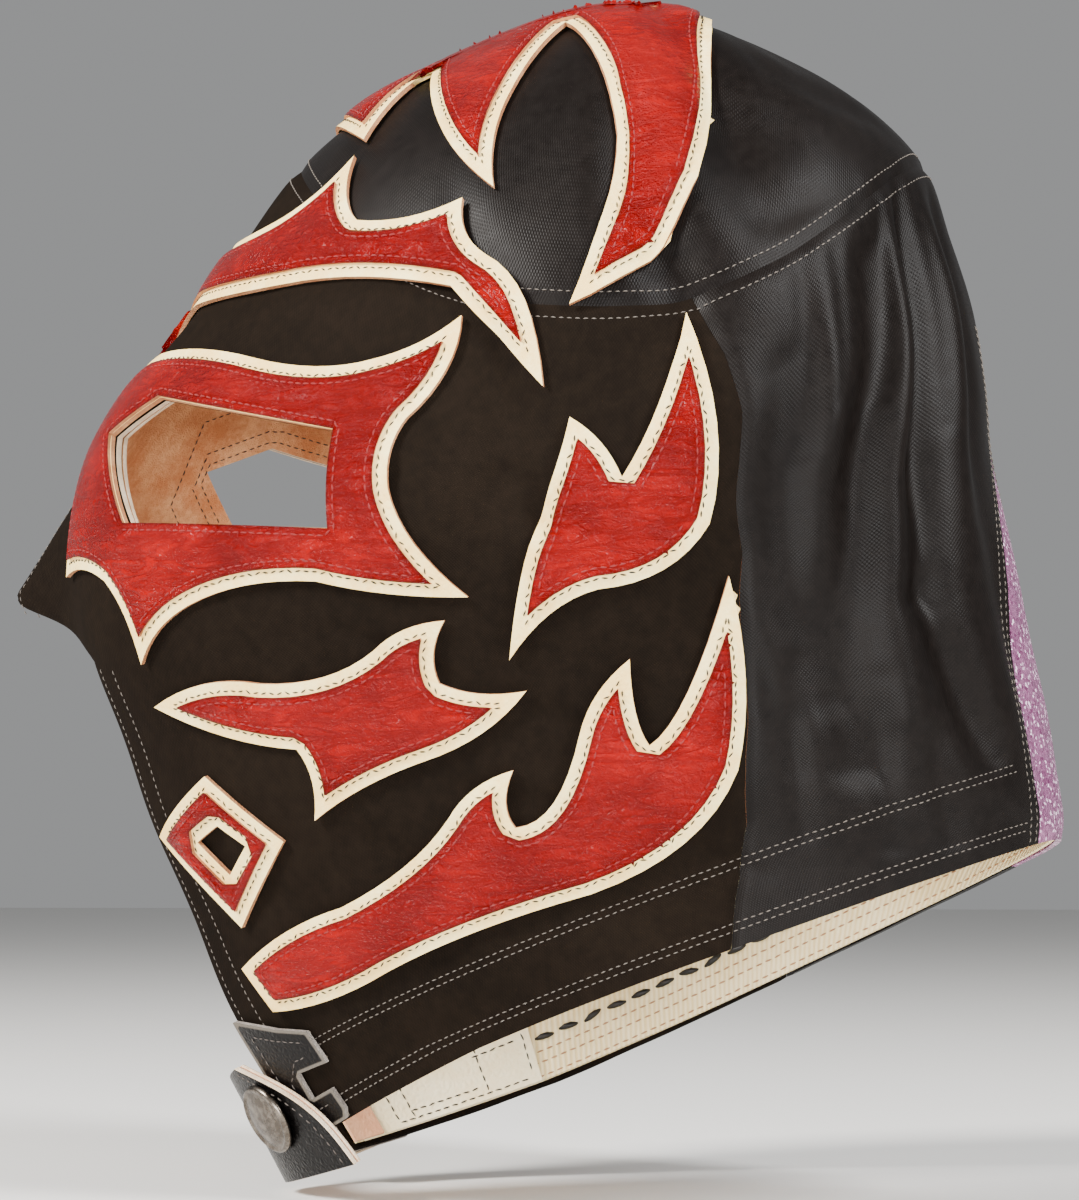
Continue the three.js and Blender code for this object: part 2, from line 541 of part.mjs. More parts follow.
// Gore of glitter cloth let into the back, and the back panels on each side of it
const goreOutline = outlinePoints(GORE.outline);
const backHalf = layer(CROWN_SEAM + SECTION_GAP, HEM, SIDE_SEAM + COLUMN_GAP, MID_BACK, -FABRIC_WALL, 0);
const backWhole = backHalf.add(backHalf.mirror([1, 0, 0]));
addPiece("back_gore", toGeometry(backWhole.intersect(prism(GORE, goreOutline))), GLITTER);
const aroundGore = backWhole.subtract(prism(GORE, goreOutline)).subtract(rim(GORE, goreOutline, LAYER_GAP));
addPiece("back_panel_left", toGeometry(aroundGore.intersect(LEFT)), LYCRA);
addPiece("back_panel_right", toGeometry(aroundGore.intersect(LEFT.mirror([1, 0, 0]))), LYCRA);

// Flames: a pale leather backing with the red leather on it, on the face, the crown and the sides
const borderFoot = LAYER_GAP;
const flameFoot = borderFoot + BORDER_WALL + LAYER_GAP;
const borderLayer = layer(0, HEM, 0, MID_BACK, borderFoot, borderFoot + BORDER_WALL).intersect(LEFT);
const flameLayer = layer(0, HEM, 0, MID_BACK, flameFoot, flameFoot + FLAME_WALL).intersect(LEFT);
for (const flame of FLAMES) {
  const outline = outlinePoints(flame.outline);
  const hole = flame.hole ? outlinePoints(flame.hole) : null;
  const border = prism(flame, outline, hole ? [hole] : []);
  let red = border.subtract(rim(flame, outline, BORDER));
  if (flame.holeBorder > 0) red = red.subtract(rim(flame, hole, flame.holeBorder));
  addPair(flame.name + "_border", borderLayer.intersect(border), CREAM_LEATHER);
  addPair(flame.name, flameLayer.intersect(red), RED_LEATHER);
}

// Zigzag leather patches at the front corners of the hem, under the strap
addPair("chin_patch", borderLayer.intersect(prism(CHIN_PATCH, outlinePoints(CHIN_PATCH.outline))), BLACK_LEATHER);

// White leather that holds the strap's root, inside the hem on the wearer's right
const rootInner = liningTop - LINING_WALL - 2 * LAYER_GAP;
const rootPatch = layer(STRAP_TOP, HEM, columnOf(ROOT_PATCH_FRONT), columnOf(ROOT_PATCH_BACK), rootInner - LINING_WALL, rootInner);
addPiece("strap_root_patch", toGeometry(rootPatch), WHITE_LEATHER, -1);

// Chin strap: its place at a share down its width and along its length
function strapPlace(down, along) {
  const end = STRAP_END - STRAP_END_ROUND * (1 - down) ** 3;
  const foot = THREE.MathUtils.lerp(STRAP_ROOT_FOOT, STRAP_FOOT, along ** 1.5);
  return {
    angle: THREE.MathUtils.lerp(STRAP_ROOT, end, along),
    section: THREE.MathUtils.lerp(STRAP_TOP, foot, down),
  };
}
function strapPoint(down, along, height) {
  const { angle, section } = strapPlace(down, along);
  return formPoint(angle, section).addScaledVector(surfaceNormal(formPoint, angle, section), height);
}
const shares = (count) => Array.from({ length: count + 1 }, (_, i) => i / count);
const strapLiningFoot = borderFoot + BORDER_WALL + STRAP_SEAT;
const strapFoot = strapLiningFoot + STRAP_LINING_WALL + LAYER_GAP;
const strapTop = strapFoot + STRAP_WALL;
const strapLining = sheet(shares(4), shares(10), strapLiningFoot, strapFoot - LAYER_GAP, strapPoint);
const strap = sheet(shares(4), shares(10), strapFoot, strapTop, strapPoint);
addPiece("chin_strap_lining", toGeometry(strapLining), CREAM_LEATHER);
addPiece("chin_strap", toGeometry(strap), BLACK_LEATHER);

// Snap cap on the strap's end: a shallow dome with a raised rim
function snapCap() {
  const profile = [
    [0, 0], [1, 0], [1.03, 0.3], [0.98, 0.7], [0.9, 0.75], [0.84, 0.6], [0.5, 0.92], [0, 1],
  ].map(([radius, height]) => new THREE.Vector2(radius * SNAP_RADIUS, height * SNAP_HEIGHT));
  const dome = new THREE.LatheGeometry(profile, 20);
  const normal = surfaceNormal(formPoint, SNAP_ANGLE, SNAP_SECTION);
  const seat = formPoint(SNAP_ANGLE, SNAP_SECTION).addScaledVector(normal, strapTop + LAYER_GAP);
  dome.applyQuaternion(new THREE.Quaternion().setFromUnitVectors(new THREE.Vector3(0, 1, 0), normal));
  return toSolid(dome.translate(seat.x, seat.y, seat.z));
}
addPiece("snap_cap", toGeometry(snapCap()), PEWTER);

export default mask;
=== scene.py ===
# %% [markdown]
# # A wrestler's mask of stretch cloth and leather
# This lesson dresses a measured model of a full-head mask. The real one is sewn from black stretch cloth, lined
# with suede, and covered with red leather flames on cream leather. Every layer follows one form, so the lesson
# first writes that form down as a function, and then lays cloth, leather and thread on it.

import math

import bpy
import numpy as np
from mathutils import Matrix, Vector, geometry
from mathutils.bvhtree import BVHTree


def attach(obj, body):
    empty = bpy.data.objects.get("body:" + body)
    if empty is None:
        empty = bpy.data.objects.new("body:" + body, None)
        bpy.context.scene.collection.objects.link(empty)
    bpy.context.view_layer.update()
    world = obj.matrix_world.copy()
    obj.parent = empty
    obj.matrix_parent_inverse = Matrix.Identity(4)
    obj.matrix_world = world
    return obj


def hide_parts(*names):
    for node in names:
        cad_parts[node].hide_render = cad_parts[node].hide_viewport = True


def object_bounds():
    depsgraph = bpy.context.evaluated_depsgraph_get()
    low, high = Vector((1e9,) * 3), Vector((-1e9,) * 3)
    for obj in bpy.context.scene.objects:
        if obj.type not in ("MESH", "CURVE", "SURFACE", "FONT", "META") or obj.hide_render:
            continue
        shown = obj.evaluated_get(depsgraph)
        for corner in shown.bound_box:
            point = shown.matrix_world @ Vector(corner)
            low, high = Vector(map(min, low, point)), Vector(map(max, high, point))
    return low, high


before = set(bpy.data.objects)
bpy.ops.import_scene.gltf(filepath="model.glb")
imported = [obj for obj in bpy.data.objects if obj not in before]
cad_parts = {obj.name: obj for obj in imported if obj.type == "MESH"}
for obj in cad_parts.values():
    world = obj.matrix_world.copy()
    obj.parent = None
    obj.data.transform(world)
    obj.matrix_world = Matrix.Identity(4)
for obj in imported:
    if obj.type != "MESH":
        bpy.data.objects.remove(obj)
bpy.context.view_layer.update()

# %% [markdown]
# ## The camera
# The mask was photographed from its left, a little from behind the side view and a little from below. A lens is
# easier to judge as the height of what it frames at the object's distance, so that is the number given here.

# %% Camera at the photograph's place
AIM = Vector((0.0, -0.019, -0.1299))
DISTANCE = 0.780
FRAMED_HEIGHT = 0.2704

camera = bpy.data.objects.new("camera", bpy.data.cameras.new("camera"))
bpy.context.scene.collection.objects.link(camera)
azimuth, elevation = math.radians(100), math.radians(-4.5)
toward_camera = Vector(
    (math.sin(azimuth) * math.cos(elevation), -math.cos(azimuth) * math.cos(elevation), math.sin(elevation))
)
camera.location = AIM + toward_camera * DISTANCE
camera.rotation_euler = toward_camera.to_track_quat("Z", "Y").to_euler()
camera.data.sensor_fit = "VERTICAL"
camera.data.sensor_height = 24
camera.data.lens = 24 * DISTANCE / FRAMED_HEIGHT
bpy.context.scene.camera = camera
print("lens:", round(camera.data.lens, 1), "mm")

# %% [markdown]
# ## The form of the head
# A mask that is worn takes the form of the head, so its form is a stack of sections from the crown's apex down to
# the hem. Each section is an oval with its own length, width and roundness. A place on it is given by an angle in
# degrees from the front and by a section number. Sculpting by hand would give one surface only. A function gives
# any layer, at any height over the cloth, from the same few numbers.

# %% Sizes of the whole mask, in millimetres
MASK_LENGTH = 235.0
MASK_HEIGHT = 262.0
MASK_WIDTH = 152.0
NOSE_REACH = 17.5
NOSE_HALF_WIDTH = 14.0
NOSE_ROOT, NOSE_TIP, NOSE_FOOT = -0.345, -0.49, -0.56
HEM_LEAN = 15.0
LEAN_START, LEAN_FULL = 0.5, 0.9
FABRIC_WALL = 1.5
BORDER = 2.7

# %% The sections, as shares of those sizes
SECTION_COLUMNS = (
    "front_y", "front_z", "back_y", "back_z", "side_drop", "half_width", "widest_at", "front_round", "back_round",
    "edge", "seam",
)
SECTION_ROWS = [
    (0.0, 0.0, 0.0, 0.0, 0.0, 0.0, 0.5, 2.0, 2.0, 0, 90),
    (-0.061, -0.008, 0.087, -0.012, -0.012, 0.34, 0.5, 2.0, 2.0, 0, 92),
    (-0.146, -0.035, 0.178, -0.05, -0.055, 0.64, 0.5, 2.0, 2.0, 0, 95),
    (-0.236, -0.071, 0.244, -0.089, -0.125, 0.85, 0.52, 2.1, 2.1, 0, 100),
    (-0.308, -0.123, 0.293, -0.139, -0.16, 0.94, 0.54, 2.2, 2.2, 0, 107),
    (-0.362, -0.186, 0.315, -0.2, -0.155, 0.975, 0.55, 2.25, 2.2, 0, 113),
    (-0.409, -0.248, 0.335, -0.262, -0.14, 0.995, 0.55, 2.3, 2.2, 0, 117),
    (-0.464, -0.309, 0.346, -0.324, -0.115, 1.0, 0.55, 2.35, 2.2, 0, 119.5),
    (-0.502, -0.368, 0.351, -0.38, -0.09, 0.985, 0.55, 2.4, 2.2, 0, 121.5),
    (-0.526, -0.43, 0.363, -0.435, -0.065, 0.96, 0.55, 2.4, 2.2, 0, 123.5),
    (-0.529, -0.494, 0.377, -0.495, -0.045, 0.93, 0.54, 2.4, 2.2, 0, 124),
    (-0.518, -0.551, 0.388, -0.548, -0.03, 0.9, 0.54, 2.4, 2.2, 17, 123.5),
    (-0.487, -0.624, 0.399, -0.598, -0.018, 0.87, 0.53, 2.3, 2.2, 15.5, 122.5),
    (-0.456, -0.698, 0.407, -0.64, -0.006, 0.84, 0.52, 2.3, 2.2, 14.5, 121),
    (-0.421, -0.776, 0.412, -0.673, 0.0, 0.8, 0.52, 2.2, 2.2, 13.5, 118.5),
    (-0.381, -0.871, 0.414, -0.693, 0.003, 0.765, 0.52, 2.1, 2.2, 13.5, 114),
    (-0.315, -0.983, 0.413, -0.708, 0.002, 0.735, 0.52, 1.75, 2.2, 13, 106),
]
SECTIONS = dict(zip(SECTION_COLUMNS, np.array(SECTION_ROWS, dtype=float).T))
HEM = len(SECTION_ROWS) - 1
CROWN_SEAM = 4
FACING_TOP = 14
print("sections:", HEM + 1)


# %% Read a column between its rows
def smooth_column(name, section):
    values = SECTIONS[name]
    row = np.clip(np.floor(section).astype(int), 0, HEM - 1)
    t = section - row
    b, c = values[row], values[row + 1]
    first = c if name in ("front_z", "back_z", "side_drop") else 2 * b - c
    a = np.where(row > 0, values[np.maximum(row - 1, 0)], first)
    d = np.where(row < HEM - 1, values[np.minimum(row + 2, HEM)], 2 * c - b)
    return 0.5 * (2 * b + (c - a) * t + (2 * a - 5 * b + 4 * c - d) * t**2 + (3 * b - a - 3 * c + d) * t**3)


def straight_column(name, section):
    return np.interp(section, np.arange(HEM + 1), SECTIONS[name])


# %% The smooth form, with its nose
def nose_reach(x, z):
    root, tip, foot = (share * MASK_HEIGHT for share in (NOSE_ROOT, NOSE_TIP, NOSE_FOOT))
    above = np.clip((root - z) / (root - tip), 0, 1) ** 1.6
    below = 1 - (1 - np.clip((z - foot) / (tip - foot), 0, 1)) ** 2
    return NOSE_REACH * np.where(z > tip, above, below) * np.exp(-((x / NOSE_HALF_WIDTH) ** 2))


def form(angle, section):
    angle, section = np.broadcast_arrays(np.asarray(angle, float), np.asarray(section, float))
    inside = np.clip(section, 0, HEM)
    front_y, back_y = (smooth_column(n, inside) * MASK_LENGTH for n in ("front_y", "back_y"))
    front_z, back_z = (smooth_column(n, inside) * MASK_HEIGHT for n in ("front_z", "back_z"))
    half_width = np.maximum(smooth_column("half_width", inside), 1e-6) * MASK_WIDTH / 2
    middle = front_y + (back_y - front_y) * smooth_column("widest_at", inside)
    turn = np.radians(angle)
    ahead, aside = np.cos(turn), np.sin(turn)
    half = np.maximum(np.where(ahead > 0, middle - front_y, back_y - middle), 1e-6)
    rounding = np.where(ahead > 0, smooth_column("front_round", inside), smooth_column("back_round", inside))
    reach = ((np.abs(ahead) / half) ** rounding + (np.abs(aside) / half_width) ** rounding) ** (-1 / rounding)
    x = reach * aside
    y = middle - reach * ahead
    along = (y - front_y) / np.maximum(back_y - front_y, 1e-6)
    dip = smooth_column("side_drop", inside) * MASK_HEIGHT * np.minimum(1, (x / half_width) ** 2)
    z = front_z + (back_z - front_z) * along + dip
    y = np.where(ahead > 0, y - nose_reach(x, z), y)
    place = np.stack([x, y, z], axis=-1)
    if np.any(section > HEM):
        step = 0.2
        below = section > HEM
        edge = form(angle[below], np.full(below.sum(), float(HEM)))
        before = form(angle[below], np.full(below.sum(), HEM - step))
        place[below] = edge + (edge - before) * ((section[below] - HEM) / step)[:, None]
    return place


def outward(surface, angle, section):
    turn, step = 0.5, 0.05
    across = surface(angle + turn, section) - surface(angle - turn, section)
    low = np.minimum(np.asarray(section, float) + step, HEM)
    down = surface(angle, low) - surface(angle, np.maximum(low - 2 * step, 0))
    normal = np.cross(down, across)
    length = np.linalg.norm(normal, axis=-1, keepdims=True)
    up = np.zeros_like(normal)
    up[..., 2] = 1
    return np.where((length > 1e-9) & (np.asarray(section)[..., None] > 0.05), normal / np.maximum(length, 1e-12), up)


# %% [markdown]
# ## Folds
# Empty cloth over a head shape hangs in long soft folds behind the temple, and is pulled in at its seams. Each
# fold here runs between two places and has a width and a depth. A few broad ones are shared with the measured
# model, and narrower ones only push inwards, so that nothing pokes through the leather over them.

# %% Folds of the cloth
# from angle, from section, to angle, to section, width and depth in millimetres
MAIN_FOLDS = [
    (124, 5.6, 135, 11.6, 6.1, -3.0),
    (132, 5.0, 140, 11.5, 6.1, 1.8),
    (141, 4.8, 138.5, 13, 6.1, -4.2),
    (147, 5, 146, 12, 5.6, 2.4),
    (153, 4.3, 151.5, 10, 4.7, -5.4),
    (151.5, 10, 158, 13, 4.7, -3.9),
    (161, 5, 161, 9.5, 5.6, 2.1),
    (94, 2.1, 108, 4.4, 7.0, -3.0),
    (76, 4.6, 84, 6.9, 5.2, -2.4),
    (84, 6.9, 98, 8.5, 5.2, -2.4),
    (125, 1.8, 152, 3.3, 14.0, 2.4),
    (112, 1.2, 122, 3.6, 8.2, -2.1),
]
SMALL_FOLDS = [
    (126, 4.3, 130, 7.2, 2.6, -0.9),
    (133, 4.3, 134, 6.4, 2.2, -0.8),
    (145, 4.2, 143, 6.6, 2.4, -1.0),
    (159, 4.3, 157, 7.5, 2.6, -1.0),
    (168, 4.6, 164, 9.0, 3.6, -1.4),
    (121, 8.6, 129, 13.0, 3.0, -0.8),
    (131, 11, 127, 14.4, 2.8, -0.8),
    (143, 11.4, 140, 15.0, 3.2, -1.0),
    (150, 11.8, 149, 15.2, 3.0, -0.9),
    (166, 9.4, 170, 14.0, 3.6, -1.2),
    (70, 6.2, 62, 8.0, 2.4, -0.6),
    (60, 10.2, 76, 11.2, 2.6, -0.6),
    (84, 11.4, 112, 12.9, 3.4, -0.7),
    (70, 12.9, 100, 13.6, 3.2, -0.6),
    (50, 13.4, 64, 14.6, 2.8, -0.6),
    (100, 13.6, 118, 15.0, 2.8, -0.6),
    (32, 14.0, 56, 15.2, 2.8, -0.6),
    (62, 3.2, 80, 4.0, 3.4, -0.8),
    (98, 3.4, 116, 3.9, 2.6, -0.8),
    (120, 3.5, 140, 3.8, 2.6, -0.8),
    (106, 2.2, 130, 2.9, 3.6, -0.9),
    (134, 2.2, 158, 3.2, 3.6, -0.9),
]
ARC = 0.0056 * MASK_LENGTH
PITCH = 0.052 * MASK_HEIGHT


def fold_depth(angle, section, folds):
    turned = 180 - np.abs(180 - np.abs(angle))
    depth = np.zeros(np.broadcast(angle, section).shape)
    for from_angle, from_section, to_angle, to_section, width, height in folds:
        along = np.array([(to_angle - from_angle) * ARC, (to_section - from_section) * PITCH])
        a, b = (turned - from_angle) * ARC, (section - from_section) * PITCH
        share = np.clip((a * along[0] + b * along[1]) / (along @ along), 0, 1)
        off = np.hypot(a - share * along[0], b - share * along[1]) / width
        fade = np.sqrt(np.sin(np.pi * (0.1 + 0.8 * share)))
        depth += height * fade * np.exp(-off * off)
    return depth


# %% The cloth's outer face, and the same face pulled in at its seams and small folds
def carrier(angle, section):
    return form(angle, section) + outward(form, angle, section) * fold_depth(angle, section, MAIN_FOLDS)[..., None]


def seam_dip(angle, section):
    turned = 180 - np.abs(180 - np.abs(angle))
    crown = np.abs(section - CROWN_SEAM) * PITCH
    side = np.where(section > CROWN_SEAM, np.abs(turned - straight_column("seam", section)) * ARC, 99)
    return -0.7 * np.exp(-((crown / 1.3) ** 2)) - 0.7 * np.exp(-((side / 1.3) ** 2))


def slack(angle, section):
    a, b = np.radians(angle) * 75, section * PITCH
    waves = np.sin(a * 0.21 + 1.7 * np.sin(b * 0.05)) * np.sin(b * 0.11 + 1.3 * np.sin(a * 0.07))
    return -0.22 * (1 + waves)


def cloth(angle, section):
    depth = fold_depth(angle, section, SMALL_FOLDS) + seam_dip(angle, section) + slack(angle, section)
    return carrier(angle, section) + outward(carrier, angle, section) * depth[..., None]


# %% [markdown]
# ## From numbers to meshes
# Each layer is a sheet of quads over a grid of angles and sections. The skirt of this mask hangs askew, lower on
# the wearer's right, so the last step moves every point by a smooth lean. Mirroring comes before that step.

# %% The lean of the skirt, and meshes in metres
def settle(points):
    points = np.array(points, dtype=float)
    low = np.clip((-points[:, 2] / MASK_HEIGHT - LEAN_START) / (LEAN_FULL - LEAN_START), 0, 1)
    hem_half_width = SECTIONS["half_width"][HEM] * MASK_WIDTH / 2
    points[:, 2] += HEM_LEAN / 2 * low * low * (points[:, 0] / hem_half_width) + FABRIC_WALL
    return points / 1000


def select_only(piece):
    bpy.ops.object.select_all(action="DESELECT")
    bpy.context.view_layer.objects.active = piece
    piece.select_set(True)


def make_object(name, points, faces, materials=(), smooth=True):
    mesh = bpy.data.meshes.new(name)
    mesh.from_pydata([tuple(p) for p in points], [], [tuple(f) for f in faces])
    mesh.update()
    for material in materials:
        mesh.materials.append(material)
    if smooth:
        mesh.polygons.foreach_set("use_smooth", [True] * len(mesh.polygons))
    piece = bpy.data.objects.new(name, mesh)
    bpy.context.scene.collection.objects.link(piece)
    return piece


def put_attribute(piece, name, values):
    layer = piece.data.attributes.new(name, "FLOAT", "POINT")
    layer.data.foreach_set("value", np.asarray(values, dtype=np.float32))


def apply_modifier(piece, kind, **settings):
    select_only(piece)
    modifier = piece.modifiers.new(kind.lower(), kind)
    for key, value in settings.items():
        setattr(modifier, key, value)
    bpy.ops.object.modifier_apply(modifier=modifier.name)


SMOOTH_ANGLE = math.radians(50)


def settle_piece(piece):
    place = np.empty(len(piece.data.vertices) * 3)
    piece.data.vertices.foreach_get("co", place)
    piece.data.vertices.foreach_set("co", settle(place.reshape(-1, 3) * 1000).reshape(-1))
    piece.data.update()
    select_only(piece)
    bpy.ops.object.shade_smooth_by_angle(angle=SMOOTH_ANGLE)
    piece.select_set(False)


# %% A grid of points, and the pair of pieces that it gives
def grid_faces(rows, columns):
    index = np.arange(rows * columns).reshape(rows, columns)
    return np.stack([index[:-1, :-1], index[1:, :-1], index[1:, 1:], index[:-1, 1:]], axis=-1).reshape(-1, 4)


def sheet_points(surface, angles, sections, height):
    return surface(angles, sections) + outward(surface, angles, sections) * height


def between(start, end, columns):
    share = np.linspace(0, 1, columns)[None, :]
    return start[:, None] * (1 - share) + end[:, None] * share


PIECES = []


def finish_piece(piece, node):
    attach(piece, "root")
    if node:
        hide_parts(node)
    PIECES.append(piece.name)


def cloth_sheet(name, side, angles, sections, height, wall, materials, surface=cloth, cutter=None):
    points = sheet_points(surface, angles, sections, height).reshape(-1, 3)
    faces = grid_faces(*angles.shape)
    points[:, 0] *= side
    if side < 0:
        faces = faces[:, ::-1]
    piece = make_object(name, points / 1000, faces, materials)
    put_attribute(piece, "across", (angles * ARC).reshape(-1))
    put_attribute(piece, "down", (sections * PITCH).reshape(-1))
    apply_modifier(
        piece, "SOLIDIFY", thickness=wall / 1000, offset=-1, use_even_offset=False,
        material_offset_rim=len(materials) - 1,
    )
    if cutter is not None:
        apply_modifier(
            piece, "BOOLEAN", operation="DIFFERENCE", object=cutter, solver="EXACT", material_mode="TRANSFER"
        )
    settle_piece(piece)
    return piece


# %% [markdown]
# ## Materials as expressions
# A shader is easier to read as a sum than as a tangle of links. The small class below wraps a socket, so that an
# expression such as 1 - mask adds its Math node. Any other node comes from one method.

# %% A class that wraps a socket
class Wire:
    def __init__(self, tree, socket):
        self.tree, self.socket = tree, socket

    def math(self, operation, *others, swap=False):
        values = [self, *others]
        if swap:
            values = values[::-1]
        return self.tree.node("ShaderNodeMath", {"operation": operation}, dict(enumerate(values)))

    def __add__(self, other):
        return self.math("ADD", other)

    __radd__ = __add__

    def __sub__(self, other):
        return self.math("SUBTRACT", other)

    def __rsub__(self, other):
        return self.math("SUBTRACT", other, swap=True)

    def __mul__(self, other):
        return self.math("MULTIPLY", other)

    __rmul__ = __mul__

    def clamp(self):
        return self.tree.node("ShaderNodeClamp", {}, {"Value": self})

    def step(self, low, high):
        return self.tree.node(
            "ShaderNodeMapRange",
            {"interpolation_type": "SMOOTHSTEP"},
            {"Value": self, "From Min": low, "From Max": high},
        )


class Finish:
    def __init__(self, name):
        self.material = bpy.data.materials.new(name)
        self.material.use_nodes = True
        self.nodes = self.material.node_tree.nodes
        self.links = self.material.node_tree.links
        self.shader = self.nodes["Principled BSDF"]

    def node(self, kind, settings, inputs, output=0):
        made = self.nodes.new(kind)
        for key, value in settings.items():
            if key == "stops":
                ramp = made.color_ramp
                while len(ramp.elements) < len(value):
                    ramp.elements.new(0.5)
                for element, (position, colour) in zip(ramp.elements, value):
                    element.position = position
                    element.color = (*colour, 1)
            else:
                setattr(made, key, value)
        for key, value in inputs.items():
            if isinstance(value, Wire):
                self.links.new(value.socket, made.inputs[key])
            else:
                made.inputs[key].default_value = value
        return Wire(self, made.outputs[output])

    def place(self, scale=(1000, 1000, 1000)):
        where = self.node("ShaderNodeTexCoord", {}, {}, "Object")
        return self.node("ShaderNodeMapping", {}, {"Vector": where, "Scale": scale})

    def attribute(self, name):
        return self.node("ShaderNodeAttribute", {"attribute_name": name}, {}, "Fac")

    def noise(self, where, scale, detail=3, roughness=0.5, distortion=0.0):
        return self.node(
            "ShaderNodeTexNoise",
            {},
            {"Vector": where, "Scale": scale, "Detail": detail, "Roughness": roughness, "Distortion": distortion},
            "Fac",
        )

    def cells(self, where, scale):
        return self.node(
            "ShaderNodeTexVoronoi", {"feature": "DISTANCE_TO_EDGE"}, {"Vector": where, "Scale": scale}, "Distance"
        )

    def blend(self, factor, first, second):
        return self.node(
            "ShaderNodeMix", {"data_type": "RGBA"}, {0: factor, 6: first, 7: second}, 2
        )

    def bump(self, height, distance, strength=1.0, normal=None):
        inputs = {"Height": height, "Distance": distance, "Strength": strength}
        if normal is not None:
            inputs["Normal"] = normal
        return self.node("ShaderNodeBump", {}, inputs)

    def set(self, **values):
        for key, value in values.items():
            socket = self.shader.inputs[key.replace("_", " ")]
            if isinstance(value, Wire):
                self.links.new(value.socket, socket)
            else:
                socket.default_value = value
        return self


def colour(red, green, blue):
    def linear(value):
        share = value / 255
        return share / 12.92 if share <= 0.04045 else ((share + 0.055) / 1.055) ** 2.4

    return (linear(red), linear(green), linear(blue), 1.0)


# %% [markdown]
# ## Finishes
# The mask has few materials, and each is known by how it takes light. The shiny cloth has a broad soft sheen and a
# fine knit. The face cloth is matt and browner. The red leather is glossy and crackled, with fine creases darkened by
# painted shade. The cream leather is smooth with a pale cut edge, and the suede is fibrous.

# %% Stretch cloth, shiny and matt
def knit_cloth(name, dark, light, roughness, sheen, specular):
    finish = Finish(name)
    where = finish.place()
    across, down = finish.attribute("across"), finish.attribute("down")
    wales = (across * 9.0).math("SINE")
    courses = (down * 7.0).math("SINE")
    knit = (wales * courses) * 0.5 + 0.5
    fuzz = finish.noise(where, 0.35, 4, 0.6)
    tone = finish.noise(where, 0.03, 3, 0.55)
    mix = (fuzz * 0.5 + tone * 0.5 + knit * 0.15).step(0.3, 0.85)
    finish.set(
        Base_Color=finish.blend(mix, dark, light),
        Roughness=(fuzz * 0.2 + (roughness - 0.1)),
        Normal=finish.bump(knit * 0.6 + fuzz * 0.6, 0.00012, 0.6),
        Sheen_Weight=sheen,
        Sheen_Roughness=0.45,
        Sheen_Tint=(0.75, 0.7, 0.65, 1.0),
        Specular_IOR_Level=specular,
    )
    return finish.material


shiny_cloth = knit_cloth("shiny stretch cloth", colour(9, 6, 5), colour(19, 15, 13), 0.42, 0.0, 0.09)
face_cloth = knit_cloth("matt face cloth", colour(15, 11, 8), colour(26, 20, 15), 0.8, 0.0, 0.02)


# %% Red leather, glossy and crackled, with painted shade in its creases
def red_leather_finish():
    finish = Finish("glossy red leather")
    where = finish.place()
    warped = finish.node(
        "ShaderNodeVectorMath",
        {"operation": "ADD"},
        {0: where, 1: finish.node("ShaderNodeTexNoise", {}, {"Vector": where, "Scale": 0.12, "Detail": 2}, "Color")},
    )
    grain = finish.cells(warped, 0.55)
    fine = finish.cells(warped, 1.3)
    stretched = finish.node("ShaderNodeMapping", {}, {"Vector": where, "Scale": (0.35, 0.35, 1.3)})
    creases = finish.noise(stretched, 0.28, 5, 0.62, 0.8)
    crease_lines_and_shade = 1 - ((creases - 0.5).math("ABSOLUTE") * 9).clamp()
    patches = finish.noise(where, 0.045, 3, 0.6)
    edge = finish.attribute("edge")
    edge_darkening = 1 - edge.step(0.0, 0.9)
    base = finish.blend(patches.step(0.35, 0.7), colour(104, 1, 1), colour(134, 3, 2))
    # Painted shade: the crease lines are blended towards dark red, as if shade lay in them. They also sink in the
    # bump.
    base = finish.blend((crease_lines_and_shade * 0.35).clamp(), base, colour(52, 1, 1))
    # The red is blended darker within 0.9 mm of the cut edge.
    base = finish.blend((edge_darkening * 0.6).clamp(), base, colour(52, 2, 2))
    height = grain.step(0.0, 0.45) * 0.5 + fine.step(0.0, 0.4) * 0.25 - crease_lines_and_shade * 0.7 + patches * 0.8
    finish.set(
        Base_Color=base,
        Roughness=(finish.noise(where, 0.25, 3, 0.6) * 0.1 + 0.06),
        Normal=finish.bump(height, 0.0005, 0.9),
        Specular_IOR_Level=0.1,
    )
    return finish.material


red_leather = red_leather_finish()


# %% Plain leathers and their raw edges
def leather(name, dark, light, roughness, grain_size=0.8, depth=0.00012, coat=0.0, specular=0.12):
    finish = Finish(name)
    where = finish.place()
    grain = finish.cells(where, grain_size)
    tone = finish.noise(where, 0.09, 4, 0.6)
    smudge = finish.noise(where, 0.9, 3, 0.6)
    finish.set(
        Base_Color=finish.blend((tone * 0.7 + smudge * 0.3).step(0.35, 0.7), dark, light),
        Roughness=(smudge * 0.2 + (roughness - 0.1)),
        Normal=finish.bump(grain.step(0.0, 0.4) * 0.6 + smudge * 0.5, depth, 0.7),
        Coat_Weight=coat,
        Coat_Roughness=0.12,
        Specular_IOR_Level=specular,
    )
    return finish.material


def ribbed_leather(name, dark, light):
    finish = Finish(name)
    where = finish.place()
    across, down = finish.attribute("across"), finish.attribute("down")
    sway = finish.noise(where, 0.12, 2, 0.5)
    ribs = (across * 4.2 + down * 3.0 + sway * 5.0).math("SINE") * 0.5 + 0.5
    tone = finish.noise(where, 0.09, 4, 0.6)
    finish.set(
        Base_Color=finish.blend((tone * 0.7 + ribs * 0.35).step(0.3, 0.75), dark, light),
        Roughness=(tone * 0.2 + 0.5),
        Normal=finish.bump(ribs * 0.7 + tone * 0.3, 0.0003, 0.6),
    )
    return finish.material


